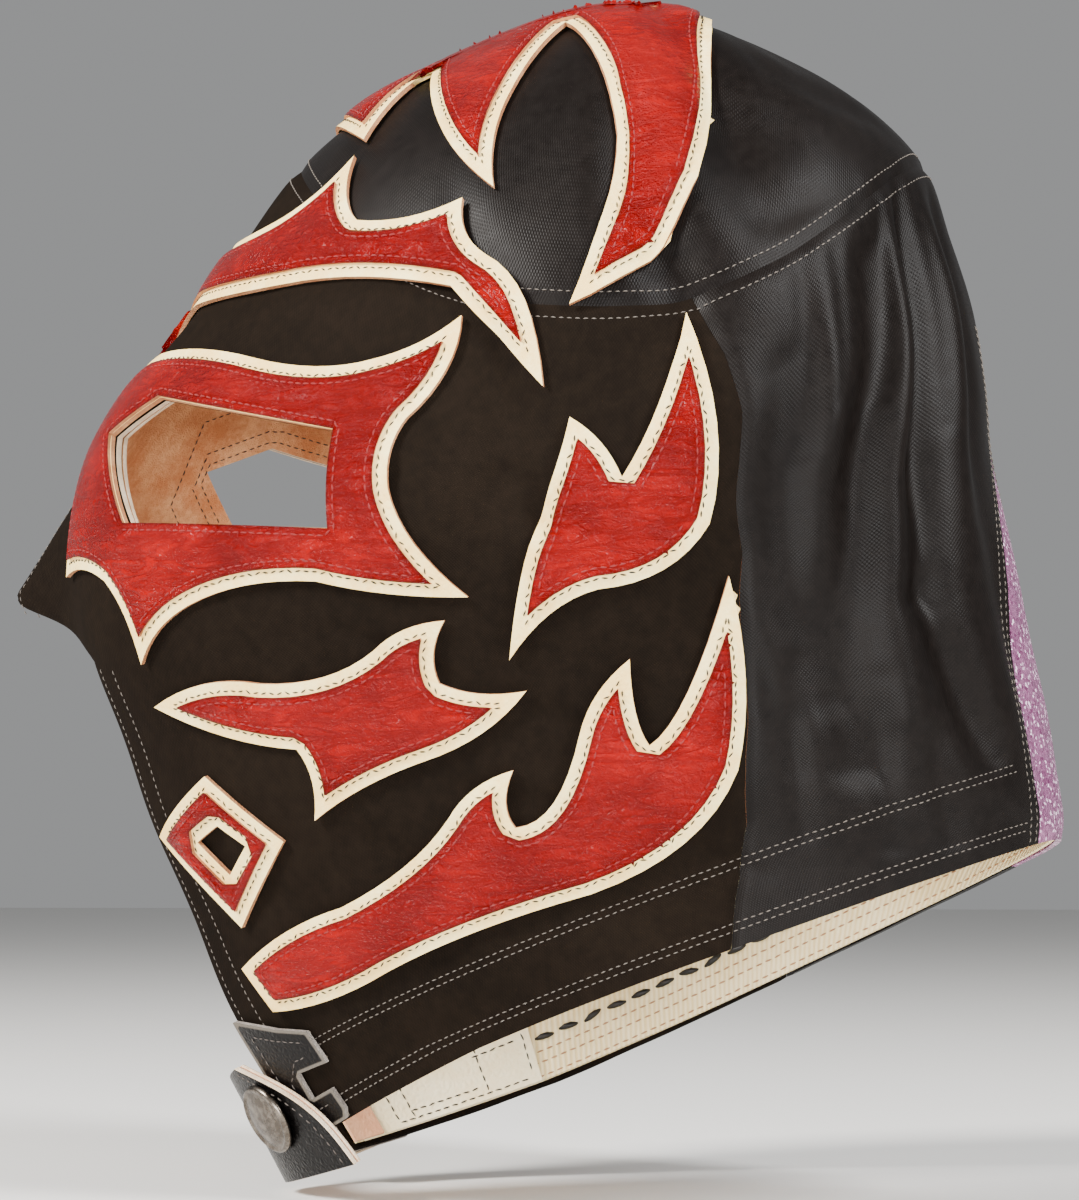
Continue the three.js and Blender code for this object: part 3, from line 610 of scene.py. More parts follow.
def edged_leather(name):
    finish = Finish(name)
    where = finish.place()
    grain = finish.cells(where, 0.7)
    smudge = finish.noise(where, 0.9, 3, 0.6)
    cut = 1 - finish.attribute("edge").step(0.45, 0.85)
    finish.set(
        Base_Color=finish.blend(cut, colour(11, 9, 9), colour(96, 90, 82)),
        Roughness=(smudge * 0.2 + 0.24 + cut * 0.4),
        Normal=finish.bump(grain.step(0.0, 0.4) * 0.6 + smudge * 0.5, 0.0002, 0.7),
        Coat_Weight=0.03,
        Coat_Roughness=0.15,
        Specular_IOR_Level=0.1,
    )
    return finish.material


cream_leather = leather("smooth cream leather", colour(246, 208, 128), colour(255, 234, 168), 0.6)
white_leather = leather("off-white leather", colour(246, 228, 182), colour(255, 244, 208), 0.42, 0.6, 0.00015)
black_leather = leather("glossy black leather", colour(5, 4, 4), colour(11, 9, 9), 0.3, 0.7, 0.0002, 0.03)
peach_leather = leather("peach leather", colour(214, 156, 120), colour(244, 194, 156), 0.6)
facing_leather = ribbed_leather("ribbed cream leather", colour(236, 210, 150), colour(254, 236, 188))
patch_leather = edged_leather("black leather with a grey cut edge")
suede = leather("tan suede", colour(202, 128, 80), colour(242, 184, 134), 0.92, 1.8, 0.0003)
raw_edge = leather("raw tan leather edge", colour(150, 98, 66), colour(196, 146, 106), 0.9, 2.0, 0.0003)
pale_edge = leather("raw pale leather edge", colour(206, 180, 150), colour(232, 214, 188), 0.85, 2.0, 0.0003)
grey_edge = leather("raw grey leather edge", colour(120, 112, 106), colour(168, 160, 152), 0.85, 2.0, 0.0003)


# %% Thread, metal and glitter
def thread(name, dark, light, roughness=0.7):
    finish = Finish(name)
    twist = finish.noise(finish.place(), 2.5, 2, 0.5)
    finish.set(Base_Color=finish.blend(twist, dark, light), Roughness=roughness)
    return finish.material


brown_thread = thread("dark brown thread", colour(48, 34, 28), colour(76, 56, 46))
black_thread = thread("black thread", colour(12, 10, 9), colour(30, 26, 24))
# Painted highlight: this thread is near black, and its grey colour stands for the light glinting off it.
dark_thread_greyed_for_highlights = thread("dark thread greyed with painted highlight", colour(52, 46, 42), colour(84, 76, 70))
# Painted highlight: the topstitch thread is dark, and its light grey colour stands for the light glinting off it.
topstitch_thread_greyed_for_highlights = thread("dark topstitch thread greyed with painted highlight", colour(66, 60, 54), colour(104, 96, 88))
red_thread = thread("dark red thread", colour(92, 10, 12), colour(128, 20, 20))
tan_thread = thread("tan thread", colour(150, 104, 66), colour(186, 140, 98))
lace_cord = thread("black lace", colour(10, 9, 9), colour(28, 25, 23), 0.5)


def pewter_finish():
    finish = Finish("dark pewter")
    wear = finish.noise(finish.place(), 0.35, 4, 0.65)
    finish.set(
        Base_Color=finish.blend(wear.step(0.4, 0.7), colour(92, 84, 76), colour(140, 132, 122)),
        Roughness=(wear * 0.2 + 0.18),
        Metallic=1.0,
    )
    return finish.material


def glitter_finish():
    finish = Finish("purple glitter cloth")
    where = finish.place()
    flakes = finish.node(
        "ShaderNodeTexVoronoi", {"feature": "F1"}, {"Vector": where, "Scale": 1.6}, "Color"
    )
    split = finish.node("ShaderNodeSeparateColor", {}, {"Color": flakes}, "Red")
    second = finish.node("ShaderNodeSeparateColor", {}, {"Color": flakes}, "Green")
    base = finish.blend(split, colour(96, 40, 78), colour(190, 128, 170))
    base = finish.blend(second.step(0.86, 0.95), base, colour(245, 214, 236))
    finish.set(
        Base_Color=base,
        Metallic=(split * 0.5 + 0.3),
        Roughness=(second * 0.4 + 0.2),
        Normal=finish.bump(split + second, 0.0003, 0.8),
    )
    return finish.material


pewter = pewter_finish()
glitter = glitter_finish()
print("materials:", len(bpy.data.materials))

# %% [markdown]
# ## Outlines
# Flames are flat pieces of leather, so they are drawn flat, as seen from a bearing round the head and a pitch over
# level. The numbers are percent of the mask's length across and of its height up. A point marked as a bend pulls
# the edge towards it without being on it, which is how a curve is drawn with few points.

# %% Draw the outlines
EYE_HOLE = [(-32, -37), (-25, -34.5), (-3.4, -38.7), (-3.3, -46.4), (-25.7, -45)]
EYE_BEARING = 60
FLAMES = {
    "eye_flame": (60, 0, [
        (-39.5, -37.5), (-37, -31, "via"), (-30, -30), (-22, -30, "via"), (-14, -32), (-6, -34, "via"),
        (-1, -33), (3.5, -32.3, "via"), (6.5, -29.8), (7, -34.5, "via"), (3, -38), (1.5, -40, "via"),
        (2, -43.5), (3, -48, "via"), (7.5, -52), (1, -52, "via"), (-5, -50.5), (-12, -50, "via"), (-18, -52),
        (-22.5, -53.5, "via"), (-25, -56.5), (-25.5, -52, "via"), (-29, -49.5), (-33, -47.5, "via"),
        (-38.5, -48.5), (-36.5, -43.5, "via"),
    ], EYE_HOLE, 0),
    "brow_flame": (60, 0, [
        (-42, -27), (-35, -19), (-26, -21, "via"), (-18, -19.5), (-13, -18.5, "via"), (-10.5, -14.5),
        (-9.5, -19, "via"), (-6.5, -20.8), (-0.5, -21.8, "via"), (4, -19.8), (4.5, -23, "via"), (7.5, -24.8),
        (12.5, -27.2, "via"), (14, -35.8), (10.2, -32, "via"), (5, -27.3), (-4, -25.3, "via"), (-13, -25.7),
        (-22, -25.9, "via"), (-29, -25.5), (-35, -26, "via"), (-42, -31),
    ], None, 0),
    "crest_flame": (90, 45, [
        (-28, 6), (-28, -6), (-26.5, -13, "via"), (-21.5, -19.5), (-19.5, -13, "via"), (-16.5, -8.5),
        (-16, -17, "via"), (-13, -23), (-11, -27, "via"), (-7.5, -30), (-8.8, -25, "via"), (-7, -19.5),
        (-5.5, -14, "via"), (-3.5, -9), (1.5, -17, "via"), (3, -25), (3.5, -33, "via"), (0, -40),
        (8, -37.5, "via"), (10.5, -29), (12.5, -16, "via"), (6.5, 8),
    ], None, 0),
    "temple_flame": (90, 0, [
        (-5.5, -57), (-4.5, -50, "via"), (-2.5, -46), (-0.5, -42, "via"), (0.3, -38.3), (3.5, -40, "via"),
        (4.8, -43), (8.5, -38, "via"), (10, -30), (14.5, -39, "via"), (12, -46.5), (9, -51, "via"),
        (2.5, -51.5), (-2, -52.5, "via"),
    ], None, 0),
    "cheek_flame": (75, 0, [
        (-33.5, -60), (-27, -57.5, "via"), (-21, -58.5), (-14, -59, "via"), (-9.5, -56), (-7, -54, "via"),
        (-3, -53.8), (-5, -56.5, "via"), (-4, -58.8), (-1, -60.2, "via"), (3.5, -59.5), (0, -63.5, "via"),
        (-6, -65.2), (-12, -67, "via"), (-17, -70), (-16, -66.5, "via"), (-18, -64), (-25, -63.5, "via"),
    ], None, 0),
    "jaw_flame": (90, 0, [
        (-33, -82.5), (-28, -79, "via"), (-22, -77.5), (-15, -74.5, "via"), (-11.5, -70), (-9.5, -67, "via"),
        (-5.5, -66), (-7, -69, "via"), (-5.5, -70.8), (-1.5, -70.5, "via"), (0.5, -63), (1.5, -59.5, "via"),
        (5, -57), (5, -62, "via"), (6.5, -64), (9.8, -62, "via"), (13.5, -50.5), (15.8, -59, "via"),
        (14, -66), (11, -73, "via"), (1, -76.5), (-10, -79.5, "via"), (-18, -83.2), (-24, -86.3, "via"),
        (-30, -86.3),
    ], None, 0),
    "chin_diamond": (60, 0, [
        (-29.5, -70.8), (-20, -66), (-12.5, -71.7), (-20, -79),
    ], [
        (-23, -71.5), (-19.7, -70.2), (-16.9, -72), (-19.8, -74.4),
    ], BORDER),
}
CHIN_PATCH = [
    (-36.5, -86.6), (-33.7, -87.1), (-29.9, -87.8), (-26.7, -88.1), (-24.9, -90.7), (-28.2, -91.5), (-27, -93.5),
    (-24.7, -92.7), (-23.5, -94.3), (-23.9, -102), (-42, -102),
]
GORE = [(0, -37.5), (-7.5, -44, "via"), (-8.8, -58), (-9.1, -80), (15.3, -80), (8, -52, "via")]


# %% Work out the bent stretches and spread points along the edge
def outline_points(outline, steps=8):
    places = [np.array([p[0] / 100 * MASK_LENGTH, p[1] / 100 * MASK_HEIGHT]) for p in outline]
    result = []
    for i, point in enumerate(outline):
        if len(point) == 2:
            result.append(places[i])
            continue
        before, after = places[i - 1], places[(i + 1) % len(outline)]
        for step in range(1, steps):
            t = step / steps
            result.append((1 - t) ** 2 * before + 2 * t * (1 - t) * places[i] + t * t * after)
    return counterclockwise(np.array(result))


def counterclockwise(points):
    following = np.roll(points, -1, axis=0)
    area = np.sum(points[:, 0] * following[:, 1] - points[:, 1] * following[:, 0])
    return points[::-1] if area < 0 else points


def spread(points, spacing):
    result = []
    for a, b in zip(points, np.roll(points, -1, axis=0)):
        count = max(1, round(float(np.linalg.norm(b - a)) / spacing))
        result.extend(a + (b - a) * i / count for i in range(count))
    return np.array(result)


def edge_middles(ring):
    following = np.roll(ring, -1, axis=0)
    heading = following - ring
    heading /= np.linalg.norm(heading, axis=1)[:, None]
    return (ring + following) / 2, np.stack([-heading[:, 1], heading[:, 0]], axis=1)


def distance_to(points, outline):
    a, b = outline, np.roll(outline, -1, axis=0)
    edge = b - a
    share = np.einsum("pej,ej->pe", points[:, None, :] - a[None], edge) / np.sum(edge * edge, axis=1)
    share = np.clip(share, 0, 1)
    nearest = a[None] + edge[None] * share[..., None]
    return np.min(np.linalg.norm(points[:, None, :] - nearest, axis=-1), axis=1)


def is_inside(points, outline):
    a, b = outline, np.roll(outline, -1, axis=0)
    x, y = points[:, 0][:, None], points[:, 1][:, None]
    crosses = (a[:, 1] > y) != (b[:, 1] > y)
    with np.errstate(divide="ignore", invalid="ignore"):
        at = (b[:, 0] - a[:, 0]) * (y - a[:, 1]) / (b[:, 1] - a[:, 1]) + a[:, 0]
    return np.sum(crosses & (x < at), axis=1) % 2 == 1


# %% [markdown]
# ## Leather that follows the form
# A flat outline becomes a curved piece in three moves. Points are strewn inside it, denser near the edge, and
# joined by a Delaunay triangulation. Each point is then carried along the drawing's direction onto the head, and
# last, the sheet gets its thickness. A cut with a boolean would leave long thin faces where the cut edge crosses
# the grid, and this way leaves none.

# %% A fine copy of the form to carry points onto
def base_surface():
    angles = np.linspace(-6, 186, 193)
    sections = np.concatenate([[0.02, 0.1, 0.2], np.arange(0.3, HEM + 0.36, 0.11)])
    grid_angles, grid_sections = np.meshgrid(angles, sections)
    points = carrier(grid_angles, grid_sections)
    normals = outward(carrier, grid_angles, grid_sections)
    faces = grid_faces(*grid_angles.shape)
    triangles = np.concatenate([faces[:, [0, 1, 2]], faces[:, [0, 2, 3]]])
    vertices = points.reshape(-1, 3)
    cap = np.array([[0, 0, 0.0]])
    first_row = np.arange(len(angles))
    fan = np.stack([np.full(len(angles) - 1, len(vertices)), first_row[:-1], first_row[1:]], axis=1)
    vertices = np.concatenate([vertices, cap])
    normals = np.concatenate([normals.reshape(-1, 3), [[0, 0, 1.0]]])
    triangles = np.concatenate([triangles, fan])
    tree = BVHTree.FromPolygons(vertices.tolist(), triangles.tolist())
    return vertices, normals, triangles, tree


STITCH_INSET = 1.5
BASE_POINTS, BASE_NORMALS, BASE_TRIANGLES, BASE_TREE = base_surface()
print("base triangles:", len(BASE_TRIANGLES))


def drawing_axes(bearing, pitch):
    turn, tilt = math.radians(bearing), math.radians(pitch)
    across = np.array([math.cos(turn), math.sin(turn), 0])
    out = np.array([math.sin(turn) * math.cos(tilt), -math.cos(turn) * math.cos(tilt), math.sin(tilt)])
    return across, np.cross(out, across), out


def carry(points, bearing, pitch):
    across, up, out = drawing_axes(bearing, pitch)
    places, normals = [], []
    for h, v in points:
        start = Vector(across * h + up * v + out * 400)
        hit, _, index, _ = BASE_TREE.ray_cast(start, Vector(-out))
        if hit is None:
            hit, _, index, _ = BASE_TREE.find_nearest(Vector(across * h + up * v + out * 60))
        a, b, c = (Vector(BASE_POINTS[i]) for i in BASE_TRIANGLES[index])
        weights = np.array(poly_weights(a, b, c, hit))
        normal = weights @ BASE_NORMALS[BASE_TRIANGLES[index]]
        places.append(hit)
        normals.append(normal / np.linalg.norm(normal))
    return np.array(places), np.array(normals)


def poly_weights(a, b, c, p):
    whole = (b - a).cross(c - a).length
    if whole < 1e-12:
        return 1 / 3, 1 / 3, 1 / 3
    u = (b - p).cross(c - p).length / whole
    v = (c - p).cross(a - p).length / whole
    w = (a - p).cross(b - p).length / whole
    total = u + v + w
    return u / total, v / total, w / total


# %% Fill an outline with points and faces
def fill_outline(rings, spacing, offsets):
    edges, points = [], []
    for ring in rings:
        start = len(points)
        points.extend(ring)
        edges.extend((start + i, start + (i + 1) % len(ring)) for i in range(len(ring)))
    everything = np.concatenate(rings)
    low, high = everything.min(axis=0), everything.max(axis=0)
    rows = []
    for r, y in enumerate(np.arange(low[1], high[1], spacing * 0.87)):
        xs = np.arange(low[0] + (r % 2) * spacing / 2, high[0], spacing)
        rows.append(np.stack([xs, np.full(len(xs), y)], axis=1))
    inner = np.concatenate(rows)

    def depth(candidates):
        inside = is_inside(candidates, rings[0])
        for hole in rings[1:]:
            inside &= ~is_inside(candidates, hole)
        gap = np.min([distance_to(candidates, ring) for ring in rings], axis=0)
        return np.where(inside, gap, -1)

    inner = inner[depth(inner) > (offsets[-1] if offsets else 0) + spacing * 0.45]
    for offset in offsets:
        for ring in rings:
            middles, side = edge_middles(ring)
            for sign in (1, -1):
                candidates = middles + side * offset * sign
                candidates = candidates[depth(candidates) > offset - 0.02]
                inner = np.concatenate([inner, candidates])
    points = np.array(list(points) + list(inner))
    made = geometry.delaunay_2d_cdt([Vector(p) for p in points], edges, [], 0, 1e-4)
    places = np.array([tuple(v) for v in made[0]])
    faces = np.array(made[2])
    centres = places[faces].mean(axis=1)
    faces = faces[depth(centres) > 0]
    return places, faces, np.maximum(depth(places + 1e-7), 0)


# %% Lay a filled outline on the form
def leather_piece(name, side, drawing, rings, height, wall, spacing, offsets, materials, crown=0.0, groove=0.0):
    bearing, pitch = drawing
    flat, faces, depth = fill_outline(rings, spacing, offsets)
    places, normals = carry(flat, bearing, pitch)
    lift = height + crown * (1 - np.exp(-depth / 1.2)) - groove * np.exp(-(((depth - STITCH_INSET) / 0.4) ** 2))
    points = places + normals * lift[:, None]
    a, b, c = (points[faces[:, i]] for i in range(3))
    facing = np.einsum("ij,ij->i", np.cross(b - a, c - a), normals[faces[:, 0]])
    if np.sum(facing > 0) < len(faces) / 2:
        faces = faces[:, ::-1]
    points[:, 0] *= side
    if side < 0:
        faces = faces[:, ::-1]
    piece = make_object(name, points / 1000, faces, materials)
    put_attribute(piece, "edge", depth)
    select_only(piece)
    bpy.ops.object.mode_set(mode="EDIT")
    bpy.ops.mesh.select_all(action="SELECT")
    bpy.ops.mesh.bisect(
        plane_co=(side * 0.00015, 0, 0), plane_no=(side, 0, 0), clear_inner=True, clear_outer=False
    )
    bpy.ops.object.mode_set(mode="OBJECT")
    apply_modifier(
        piece, "SOLIDIFY", thickness=wall / 1000, offset=-1, use_even_offset=False,
        material_offset_rim=len(materials) - 1,
    )
    settle_piece(piece)
    return piece


def inset_path(ring, offset, inward=1):
    middles, side = edge_middles(spread(ring, 0.4))
    path = middles + side * inward * offset
    good = distance_to(path, ring) > offset - 0.03
    runs, run = [], []
    for point, kept in zip(path, good):
        if kept:
            run.append(point)
        elif run:
            runs.append(np.array(run))
            run = []
    if run:
        if runs and good[0]:
            runs[0] = np.concatenate([np.array(run), runs[0]])
        else:
            runs.append(np.array(run))
    return runs


# %% [markdown]
# ## Stitches
# A stitch is a short thread that dives at both ends, so each is a small capsule a little longer than it is thick.
# One is modelled with few faces and copied along a path on the surface, because there are thousands.

# %% One stitch, copied along paths
def stitch_template():
    ring_count, sides = 4, 5
    rows = []
    for i in range(ring_count):
        t = i / (ring_count - 1)
        width = 0.35 + 0.65 * math.sin(math.pi * t)
        sink = -0.55 * (2 * t - 1) ** 4
        for s in range(sides):
            turn = 2 * math.pi * s / sides
            rows.append((t - 0.5, math.cos(turn) * width, math.sin(turn) * width + sink))
    faces = [
        (i * sides + s, i * sides + (s + 1) % sides, (i + 1) * sides + (s + 1) % sides, (i + 1) * sides + s)
        for i in range(ring_count - 1)
        for s in range(sides)
    ]
    faces.append(tuple(range(sides))[::-1])
    faces.append(tuple(range((ring_count - 1) * sides, ring_count * sides)))
    return np.array(rows), faces


STITCH_POINTS, STITCH_FACES = stitch_template()
TOPSTITCH_LIFT, LINING_STITCH_DEPTH, LACE_DEPTH, ROOT_STITCH_DEPTH = 0.08, 2.85, 3.1, 4.45


def stitches_along(points, normals, pitch, length, radius, wobble=0.0):
    steps = np.linalg.norm(np.diff(points, axis=0), axis=1)
    travelled = np.concatenate([[0], np.cumsum(steps)])
    made_points, made_faces = [], []
    count = int(travelled[-1] // pitch)
    for i in range(count):
        at = (i + 0.5) * pitch
        j = min(np.searchsorted(travelled, at), len(points) - 1)
        if j == 0:
            continue
        share = (at - travelled[j - 1]) / max(steps[j - 1], 1e-9)
        centre = points[j - 1] * (1 - share) + points[j] * share
        ahead = points[j] - points[j - 1]
        ahead = ahead / max(np.linalg.norm(ahead), 1e-9)
        normal = normals[j]
        aside = np.cross(normal, ahead)
        if wobble:
            swing = wobble * math.sin(i * 2.4) + 0.5 * wobble * math.sin(i * 5.1 + 1)
            ahead = ahead + aside * swing
            ahead /= np.linalg.norm(ahead)
            aside = np.cross(normal, ahead)
        local = STITCH_POINTS
        placed = (
            centre
            + np.outer(local[:, 0] * length, ahead)
            + np.outer(local[:, 1] * radius, aside)
            + np.outer(local[:, 2] * radius, normal)
        )
        offset = len(made_points) * len(local)
        made_points.append(placed)
        made_faces.extend(tuple(v + offset for v in face) for face in STITCH_FACES)
    return made_points, made_faces


def carried_paths(ring, drawing, offset, lift, inward=1):
    paths = []
    for run in inset_path(ring, offset, inward):
        if len(run) < 8:
            continue
        places, normals = carry(run[::2], *drawing)
        ends = np.flatnonzero(np.diff(np.concatenate([[0], places[:, 0] > 0.8, [0]]).astype(int)))
        for start, end in zip(ends[::2], ends[1::2]):
            if end - start > 3:
                paths.append((places[start:end] + normals[start:end] * lift, normals[start:end]))
    return paths


def thread_piece(name, side, paths, pitch, length, radius, material, wobble=0.0):
    points, faces = [], []
    for path, normals in paths:
        if len(path) < 2:
            continue
        some_points, some_faces = stitches_along(path, normals, pitch, length, radius, wobble)
        offset = len(points) * len(STITCH_POINTS)
        points.extend(some_points)
        faces.extend(tuple(v + offset for v in face) for face in some_faces)
    if not points:
        return None
    everything = np.concatenate(points)
    everything[:, 0] *= side
    if side < 0:
        faces = [face[::-1] for face in faces]
    piece = make_object(name, settle(everything), faces, [material])
    finish_piece(piece, None)
    return piece


# %% [markdown]
# ## Cloth panels
# The crown is one cap of shiny cloth in two halves. The back panels are the same cloth, and the face panels a
# matt one. Their grids are finer than the eye can see at this distance, so that the folds stay round.

# %% The eye hole's cutter
def eye_cutter():
    across, up, out = drawing_axes(EYE_BEARING, 0)
    ring = outline_points(EYE_HOLE)
    near = [across * h + up * v + out * 15 for h, v in ring]
    far = [across * h + up * v + out * 130 for h, v in ring]
    count = len(ring)
    faces = [(i, (i + 1) % count, count + (i + 1) % count, count + i) for i in range(count)]
    faces += [tuple(range(count))[::-1], tuple(range(count, 2 * count))]
    return np.array(near + far), faces


CUT_POINTS, CUT_FACES = eye_cutter()
CUTTERS = {}
for side, label in ((1, "left"), (-1, "right")):
    points = CUT_POINTS * np.array([side, 1, 1]) / 1000
    faces = CUT_FACES if side > 0 else [face[::-1] for face in CUT_FACES]
    CUTTERS[side] = make_object("eye_cutter_" + label, points, faces, [pale_edge], smooth=False)

# %% Crown, face, back and lining
FINE = 0.6


def rows_between(top, bottom, spacing):
    return np.linspace(top, bottom, max(3, int((bottom - top) * PITCH / (spacing * FINE))))


def gore_angle(sections, foot_side):
    ring = outline_points(GORE)
    result = []
    angles = np.linspace(110, 180, 500)
    for section in sections:
        points = carrier(angles, np.full(500, min(section, HEM)))
        inside = is_inside(np.stack([-points[:, 0] * foot_side, points[:, 2]], axis=1), ring)
        result.append(angles[np.argmax(inside)] if inside.any() else 180.0)
    return np.array(result)


def panel(name, node, side, top, bottom, start, end, columns, spacing, height, wall, finish_of, slot, **more):
    sections = rows_between(top, bottom, spacing)
    angles = between(start(sections), end(sections), columns)
    grid = np.repeat(sections[:, None], columns, axis=1)
    piece = cloth_sheet(name, side, angles, grid, height, wall, [finish_of], **more)
    finish_piece(piece, node)
    return piece


def full(value):
    return lambda sections: np.full(len(sections), float(value))


def front_edge(sections):
    return straight_column("edge", sections)


def seam_line(sections):
    return straight_column("seam", sections)


for side, label in ((1, "left"), (-1, "right")):
    panel(
        "crown_cloth_" + label, "crown_" + label, side, 0.03, CROWN_SEAM, full(0), full(180), 150, 1.7,
        0, 1.3, shiny_cloth, "crown_cloth",
    )
    panel(
        "face_cloth_" + label, "face_panel_" + label, side, CROWN_SEAM, HEM,
        lambda s: np.maximum(front_edge(s), 0.0), lambda s: seam_line(s) - 0.02, 110, 1.7,
        0, 1.3, face_cloth, "face_cloth", cutter=CUTTERS[side],
    )
    panel(
        "lining_suede_" + label, "face_lining_" + label, side, CROWN_SEAM + 0.1, FACING_TOP - 0.02,
        lambda s: np.maximum(front_edge(s), 0.08), lambda s: seam_line(s) - 0.4, 80, 2.4,
        -1.9, 0.9, suede, "suede", surface=carrier, cutter=CUTTERS[side],
    )
    panel(
        "back_cloth_" + label, "back_panel_" + label, side, CROWN_SEAM, HEM,
        lambda s: seam_line(s) + 0.02, lambda s: gore_angle(s, side), 84, 1.7,
        0, 1.3, shiny_cloth, "shiny_cloth",
    )
    panel(
        "facing_leather_" + label, "hem_facing_" + label, side, FACING_TOP + 0.02, HEM - 0.03,
        lambda s: front_edge(s) + 0.4, full(179.8), 170, 1.6,
        -1.9, 0.9, facing_leather, "cream_leather", surface=carrier,
    )
for cutter in CUTTERS.values():
    bpy.data.objects.remove(cutter)
print("cloth pieces:", len(PIECES))


# %% The gore of glitter cloth
def gore_piece():
    sections = rows_between(5.4, HEM, 1.7)
    left = gore_angle(sections, 1) + 0.1
    right = 360 - gore_angle(sections, -1) - 0.1
    keep = right - left > 0.3
    sections, left, right = sections[keep], left[keep], right[keep]
    angles = between(left, right, 40)
    grid = np.repeat(sections[:, None], 40, axis=1)
    piece = cloth_sheet("gore_glitter_cloth", 1, angles, grid, 0, 1.3, [glitter])
    finish_piece(piece, "back_gore")


gore_piece()

# %% [markdown]
# ## Flames
# Each flame is two pieces of leather. The cream one is sewn to the cloth and shows as a border 2.7 mm wide, and
# the red one lies on it. Its edge is sewn down, so the leather rises a little from the edge to the middle.

# %% Cream borders, red leather and their threads
BORDER_HEIGHT = 1.3
FLAME_HEIGHT = 2.1


def moved_ring(ring, distance):
    middles, side = edge_middles(spread(ring, 0.5))
    path = middles + side * distance
    good = (distance_to(path, ring) > abs(distance) - 0.02) & (is_inside(path, ring) == (distance > 0))
    result = []
    for point in path[good]:
        if not result or np.linalg.norm(point - result[-1]) > 0.45:
            result.append(point)
    return np.array(result)


for name, (bearing, pitch, outline, hole, hole_border) in FLAMES.items():
    ring = outline_points(outline)
    rings = [spread(ring, 1.5)]
    red_rings = [spread(moved_ring(ring, BORDER), 1.2)]
    if hole:
        hole_ring = outline_points(hole)
        rings.append(spread(hole_ring, 1.5))
        grown = moved_ring(hole_ring, -hole_border) if hole_border else hole_ring
        red_rings.append(spread(grown, 1.2))
    drawing = (bearing, pitch)
    pale_paths = carried_paths(ring, drawing, BORDER - 0.7, BORDER_HEIGHT + 0.05)
    red_paths = carried_paths(ring, drawing, BORDER + STITCH_INSET, FLAME_HEIGHT + 0.2)
    if hole and hole_border:
        pale_paths += carried_paths(hole_ring, drawing, hole_border - 0.7, BORDER_HEIGHT + 0.05, -1)
    for row in (1.5, 6.5) if hole and not hole_border else ():
        red_paths += carried_paths(hole_ring, drawing, row, FLAME_HEIGHT + 0.25, -1)
    for side, label in ((1, "left"), (-1, "right")):
        border = leather_piece(
            name + "_cream_" + label, side, drawing, rings, BORDER_HEIGHT, 1.0, 3.0, [0.5], [cream_leather, raw_edge]
        )
        finish_piece(border, name + "_border_" + label)
        red = leather_piece(
            name + "_red_" + label, side, drawing, red_rings, FLAME_HEIGHT, 0.9, 2.4, [0.35, 0.9, 1.5, 2.1],
            [red_leather, raw_edge], 0.5, 0.25,
        )
        finish_piece(red, name + "_" + label)
        thread_piece(
            name + "_dark_stitches_" + label, side, pale_paths, 1.9, 1.35, 0.2, black_thread, 0.5
        )
        thread_piece(
            name + "_red_stitches_" + label, side, red_paths, 2.0, 1.5, 0.22, red_thread, 0.1
        )
print("leather pieces:", len(PIECES))

# %% [markdown]
# ## Chin patches
# Each front corner of the hem carries a black leather patch with a zigzag edge. Its drawing runs past the cloth,
# and is trimmed to the front edge and the hem. The part that two outlines share is found from their points.

# %% Trim an outline to the cloth's front corner
def common_part(ring, region):
    def inside_run(points, others):
        inside = is_inside(points, others)
        start = np.flatnonzero(inside & ~np.roll(inside, 1))[0]
        order = np.roll(np.arange(len(points)), -start)
        return points[order[: np.argmin(inside[order])]]

    ring, region = spread(ring, 0.5), spread(region, 0.5)
    return np.concatenate([inside_run(ring, region), inside_run(region, ring)])


def front_corner():
    rising = np.linspace(13, HEM, 40)
    along = np.linspace(straight_column("edge", HEM), 62, 60)
    edge = carrier(straight_column("edge", rising) + 0.2, rising)
    hem = carrier(along, np.full(60, HEM - 0.01))
    back = carrier(np.full(40, 62.0), rising[::-1])
    return counterclockwise(np.concatenate([edge, hem, back])[:, 1:])


patch_ring = common_part(counterclockwise(outline_points(CHIN_PATCH)), front_corner())
patch_paths = carried_paths(patch_ring, (90, 0), 2.6, BORDER_HEIGHT + 0.05)
for side, label in ((1, "left"), (-1, "right")):
    patch = leather_piece(
        "chin_patch_leather_" + label, side, (90, 0), [spread(patch_ring, 1.0)], BORDER_HEIGHT, 1.0, 2.2, [0.4, 0.9],
        [patch_leather, grey_edge],
    )
    finish_piece(patch, "chin_patch_" + label)
    thread_piece(
        "chin_patch_stitches_" + label, side, patch_paths, 2.0, 1.4, 0.18, dark_thread_greyed_for_highlights, 0.1
    )
print("chin patch edge points:", len(patch_ring))

# %% [markdown]
# ## Strap and snap
# The strap is two leathers glued back to back. It starts inside the wearer's right corner, crosses under the chin
# and ends in a rounded tab over the left patch. Its cut edge is left raw and shows as a pale line.

# %% The two leathers of the strap
STRAP_ROOT, STRAP_END, STRAP_END_ROUND = -34.0, 21.5, 11.0
STRAP_TOP, STRAP_FOOT, STRAP_ROOT_FOOT = 15.33, 16.28, 15.9
STRAP_HEIGHT = 4.6


def strap_place(down, along):
    end = STRAP_END - STRAP_END_ROUND * (1 - down) ** 3
    foot = STRAP_ROOT_FOOT + (STRAP_FOOT - STRAP_ROOT_FOOT) * along**1.5
    return STRAP_ROOT + (end - STRAP_ROOT) * along, STRAP_TOP + (foot - STRAP_TOP) * down


def strap_piece(name, node, height, wall, materials):
    down, along = np.meshgrid(np.linspace(0, 1, 26), np.linspace(0, 1, 76), indexing="ij")
    angles, sections = strap_place(down, along)
    piece = cloth_sheet(name, 1, angles, sections, height, wall, materials, surface=form)
    apply_modifier(
        piece, "BEVEL", width=0.00025, segments=2, limit_method="ANGLE", angle_limit=math.radians(60), material=-1
    )
    finish_piece(piece, node)


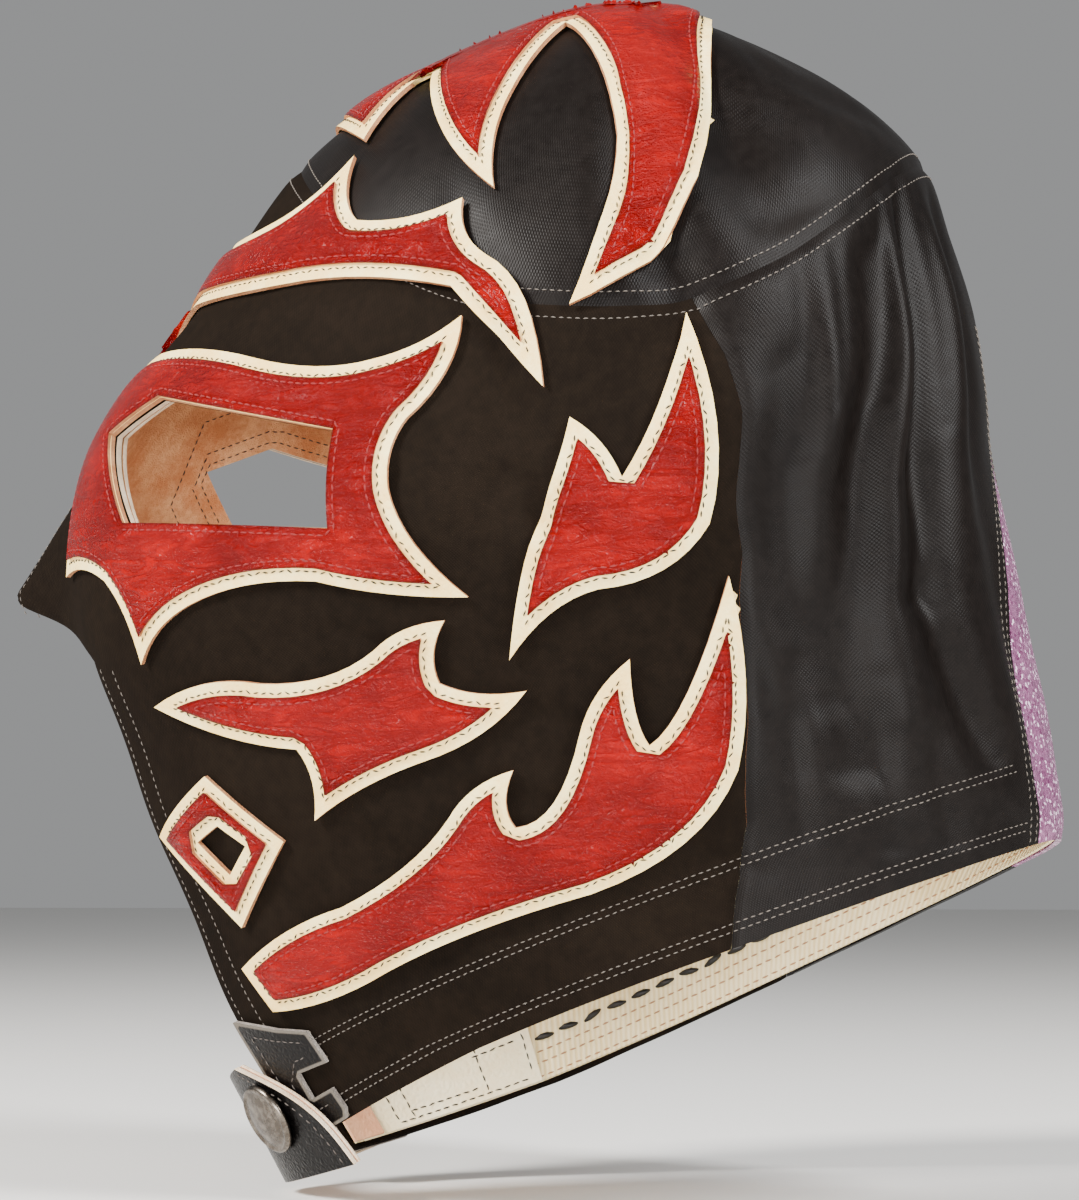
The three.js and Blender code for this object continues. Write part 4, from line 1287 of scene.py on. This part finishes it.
strap_piece("strap_leather", "chin_strap", STRAP_HEIGHT, 1.4, [black_leather, pale_edge])
strap_piece("strap_back", "chin_strap_lining", STRAP_HEIGHT - 1.7, 0.9, [peach_leather, pale_edge])


def strap_row(inset):
    down = np.linspace(0.04, 0.97, 60)
    angles, sections = strap_place(down, 1.0)
    places = form(angles - inset, sections)
    normals = outward(form, angles - inset, sections)
    return places + normals * (STRAP_HEIGHT + 0.02), normals


thread_piece("strap_stitches", 1, [strap_row(1.6)], 2.2, 1.4, 0.2, dark_thread_greyed_for_highlights, 0.1)

# %% The snap cap, spun from its profile
SNAP_RADIUS, SNAP_RISE = 7.8, 2.4
SNAP_ANGLE, SNAP_SECTION = 12.5, 15.72
SNAP_PROFILE = [
    (0.0, 0.0), (0.97, 0.0), (1.02, 0.14), (1.03, 0.36), (1.0, 0.6), (0.95, 0.72), (0.9, 0.7), (0.86, 0.6),
    (0.8, 0.62), (0.62, 0.8), (0.42, 0.92), (0.2, 0.98), (0.0, 1.0),
]


def snap_piece():
    mesh = bpy.data.meshes.new("snap_dome")
    count = len(SNAP_PROFILE)
    outline = [(r * SNAP_RADIUS / 1000, 0, h * SNAP_RISE / 1000) for r, h in SNAP_PROFILE]
    mesh.from_pydata(outline, [(i, i + 1) for i in range(count - 1)], [])
    mesh.materials.append(pewter)
    dome = bpy.data.objects.new("snap_dome", mesh)
    bpy.context.scene.collection.objects.link(dome)
    select_only(dome)
    bpy.ops.object.mode_set(mode="EDIT")
    bpy.ops.mesh.select_all(action="SELECT")
    bpy.ops.mesh.spin(steps=56, angle=2 * math.pi, center=(0, 0, 0), axis=(0, 0, 1))
    bpy.ops.mesh.select_all(action="SELECT")
    bpy.ops.mesh.remove_doubles(threshold=0.00001)
    bpy.ops.mesh.normals_make_consistent(inside=False)
    bpy.ops.object.mode_set(mode="OBJECT")
    normal = Vector(outward(form, SNAP_ANGLE, SNAP_SECTION))
    seat = Vector(form(SNAP_ANGLE, SNAP_SECTION)) / 1000 + normal * (STRAP_HEIGHT + 0.3) / 1000
    turn = normal.to_track_quat("Z", "Y").to_matrix().to_4x4()
    dome.data.transform(Matrix.Translation(seat) @ turn)
    settle_piece(dome)
    finish_piece(dome, "snap_cap")


snap_piece()

# %% The white leather that holds the strap's root
ROOT_PATCH = (0.015, 0.38)


def root_angle(share):
    return lambda s: straight_column("edge", s) + (straight_column("seam", s) - straight_column("edge", s)) * share


panel(
    "root_patch_leather", "strap_root_patch", -1, STRAP_TOP, HEM - 0.01, root_angle(ROOT_PATCH[0]),
    root_angle(ROOT_PATCH[1]), 60, 1.2, -3.4, 1.0, white_leather, "white_leather", surface=carrier,
)

# %% The rolled peach edge beside it
panel(
    "root_binding", "strap_root_patch", -1, STRAP_TOP - 0.12, HEM - 0.01, root_angle(-0.012), root_angle(0.05),
    14, 0.6, -4.5, 0.7, peach_leather, "cream_leather", surface=carrier,
)

# %% [markdown]
# ## Topstitching
# Seams in stretch cloth are sewn down with twin rows so that they stay flat. Rows are placed by real distance from
# the edge that they follow, which is walked along the surface, because sections lie closer at the back than in front.

# %% Walk a distance over the cloth
def walk(angles, sections, distance, step_angle, step_section):
    reach = np.linspace(0, 1, 121)
    line = carrier(angles[:, None] + reach * step_angle, sections[:, None] + reach * step_section)
    steps = np.linalg.norm(np.diff(line, axis=1), axis=2)
    length = np.concatenate([np.zeros((len(angles), 1)), np.cumsum(steps, axis=1)], axis=1)
    share = np.array([np.interp(distance, row, reach) for row in length])
    return angles + share * step_angle, sections + share * step_section


def row_on(surface, angles, sections, lift):
    normals = outward(surface, angles, sections)
    return surface(angles, sections) + normals * lift, normals


def row_inside(angles, sections, depth):
    places, normals = row_on(carrier, angles, sections, -depth)
    return places, -normals


# %% Rows on the outside, one piece a side
for side, label in ((1, "left"), (-1, "right")):
    rows = []
    angles = np.linspace(24, gore_angle([HEM], side)[0] - 1.5, 420)
    bottom = np.full(420, float(HEM))
    for distance in (3.6, 5.3, 16.8, 18.4):
        rows.append(row_on(cloth, *walk(angles, bottom, distance, 0, -6), TOPSTITCH_LIFT))
    angles = np.linspace(2, 178, 420)
    for step in (1, -1):
        rows.append(row_on(cloth, *walk(angles, np.full(420, float(CROWN_SEAM)), 3.0, 0, step), TOPSTITCH_LIFT))
    sections = np.linspace(11.1, 15.95, 160)
    for distance in (3.0, 10.0):
        rows.append(row_on(cloth, *walk(front_edge(sections), sections, distance, 50, 0), TOPSTITCH_LIFT))
    sections = np.linspace(6.2, 15.95, 200)
    for distance in (1.3, 3.6):
        rows.append(row_on(cloth, *walk(gore_angle(sections, side), sections, distance, -30, 0), TOPSTITCH_LIFT))
    sections = np.linspace(7.8, 10.3, 60)
    rows.append(row_on(cloth, *walk(np.zeros(60), sections, 5.5, 60, 0), TOPSTITCH_LIFT))
    thread_piece(
        "topstitching_" + label, side, rows, 1.7, 1.05, 0.17, topstitch_thread_greyed_for_highlights, 0.08
    )

# %% Rows inside the hem and round the eye holes, and the lace
for side, label in ((1, "left"), (-1, "right")):
    angles = np.linspace(44 if side < 0 else 22, 178, 420)
    bottom = np.full(420, float(HEM))
    rows = [
        row_inside(*walk(angles, bottom, distance, 0, -6), LINING_STITCH_DEPTH)
        for distance in (1.6, 4.6, 7.0, 13.5)
    ]
    thread_piece("facing_stitches_" + label, side, rows, 2.4, 1.7, 0.2, tan_thread, 0.06)
    eye_ring = outline_points(EYE_HOLE)
    rows = []
    for distance in (3.0, 5.6, 13.0):
        for places, normals in carried_paths(eye_ring, (EYE_BEARING, 0), distance, -LINING_STITCH_DEPTH, -1):
            rows.append((places, -normals))
    thread_piece("lining_stitches_" + label, side, rows, 2.0, 1.4, 0.18, brown_thread, 0.08)
angles = np.linspace(50, 118, 200)
lace_row = row_inside(*walk(angles, np.full(200, float(HEM)), 9.8, 0, -6), LACE_DEPTH)
thread_piece("facing_lace", -1, [lace_row], 6.2, 4.8, 0.75, lace_cord, 0.16)


# %% Box stitching on the white leather
def root_row(share, sections):
    angles = root_angle(share)(sections)
    return row_inside(angles, sections, ROOT_STITCH_DEPTH)


def hem_row(share_from, share_to, distance):
    angles = np.linspace(root_angle(share_from)(HEM), root_angle(share_to)(HEM), 60)
    return row_inside(*walk(angles, np.full(60, float(HEM)), distance, 0, -6), ROOT_STITCH_DEPTH)


box_rows = [root_row(share, np.linspace(STRAP_TOP + 0.03, HEM - 0.04, 40)) for share in (0.09, 0.12, 0.27, 0.365)]
box_rows += [hem_row(0.09, 0.365, 1.6), hem_row(0.12, 0.27, 3.6), hem_row(0.27, 0.365, 11.0)]
thread_piece("root_patch_stitches", -1, box_rows, 2.3, 1.8, 0.2, black_thread, 0.12)
print("pieces in all:", len(PIECES))

# %% [markdown]
# ## Floor and light
# A plain pale floor stands just under the strap. Three large soft lamps do what the room did: one high in front of
# the face, one behind the back that draws the long folds, and a low weak one beside the camera that reaches inside
# the hem.

# %% Pale floor
def pale_floor():
    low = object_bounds()[0][2]
    floor = make_object("floor", [(-6, -6, 0), (6, -6, 0), (6, 6, 0), (-6, 6, 0)], [(0, 1, 2, 3)], smooth=False)
    floor.data.transform(Matrix.Translation((0, 0, low - 0.002)))
    finish = Finish("pale floor")
    finish.set(Base_Color=(0.78, 0.77, 0.75, 1.0), Roughness=0.8)
    floor.data.materials.append(finish.material)


pale_floor()


# %% Soft studio lamps
def soft_lamp(name, place, size, power, tint=(1.0, 1.0, 1.0)):
    lamp = bpy.data.lights.new(name, "AREA")
    lamp.shape = "RECTANGLE"
    lamp.size, lamp.size_y = size
    lamp.energy = power
    lamp.color = tint
    holder = bpy.data.objects.new(name, lamp)
    bpy.context.scene.collection.objects.link(holder)
    holder.location = place
    holder.rotation_euler = (Vector(place) - AIM).to_track_quat("Z", "Y").to_euler()


soft_lamp("front lamp", (0.75, -1.0, 0.75), (0.35, 0.5), 60, (1.0, 0.97, 0.93))
soft_lamp("back lamp", (0.6, 1.0, 0.7), (0.25, 1.0), 40)
soft_lamp("camera lamp", (1.5, 0.15, -0.13), (0.9, 0.22), 26)
world = bpy.data.worlds.new("pale room")
world.use_nodes = True
world.node_tree.nodes["Background"].inputs["Color"].default_value = (0.86, 0.87, 0.88, 1.0)
world.node_tree.nodes["Background"].inputs["Strength"].default_value = 0.36
bpy.context.scene.world = world
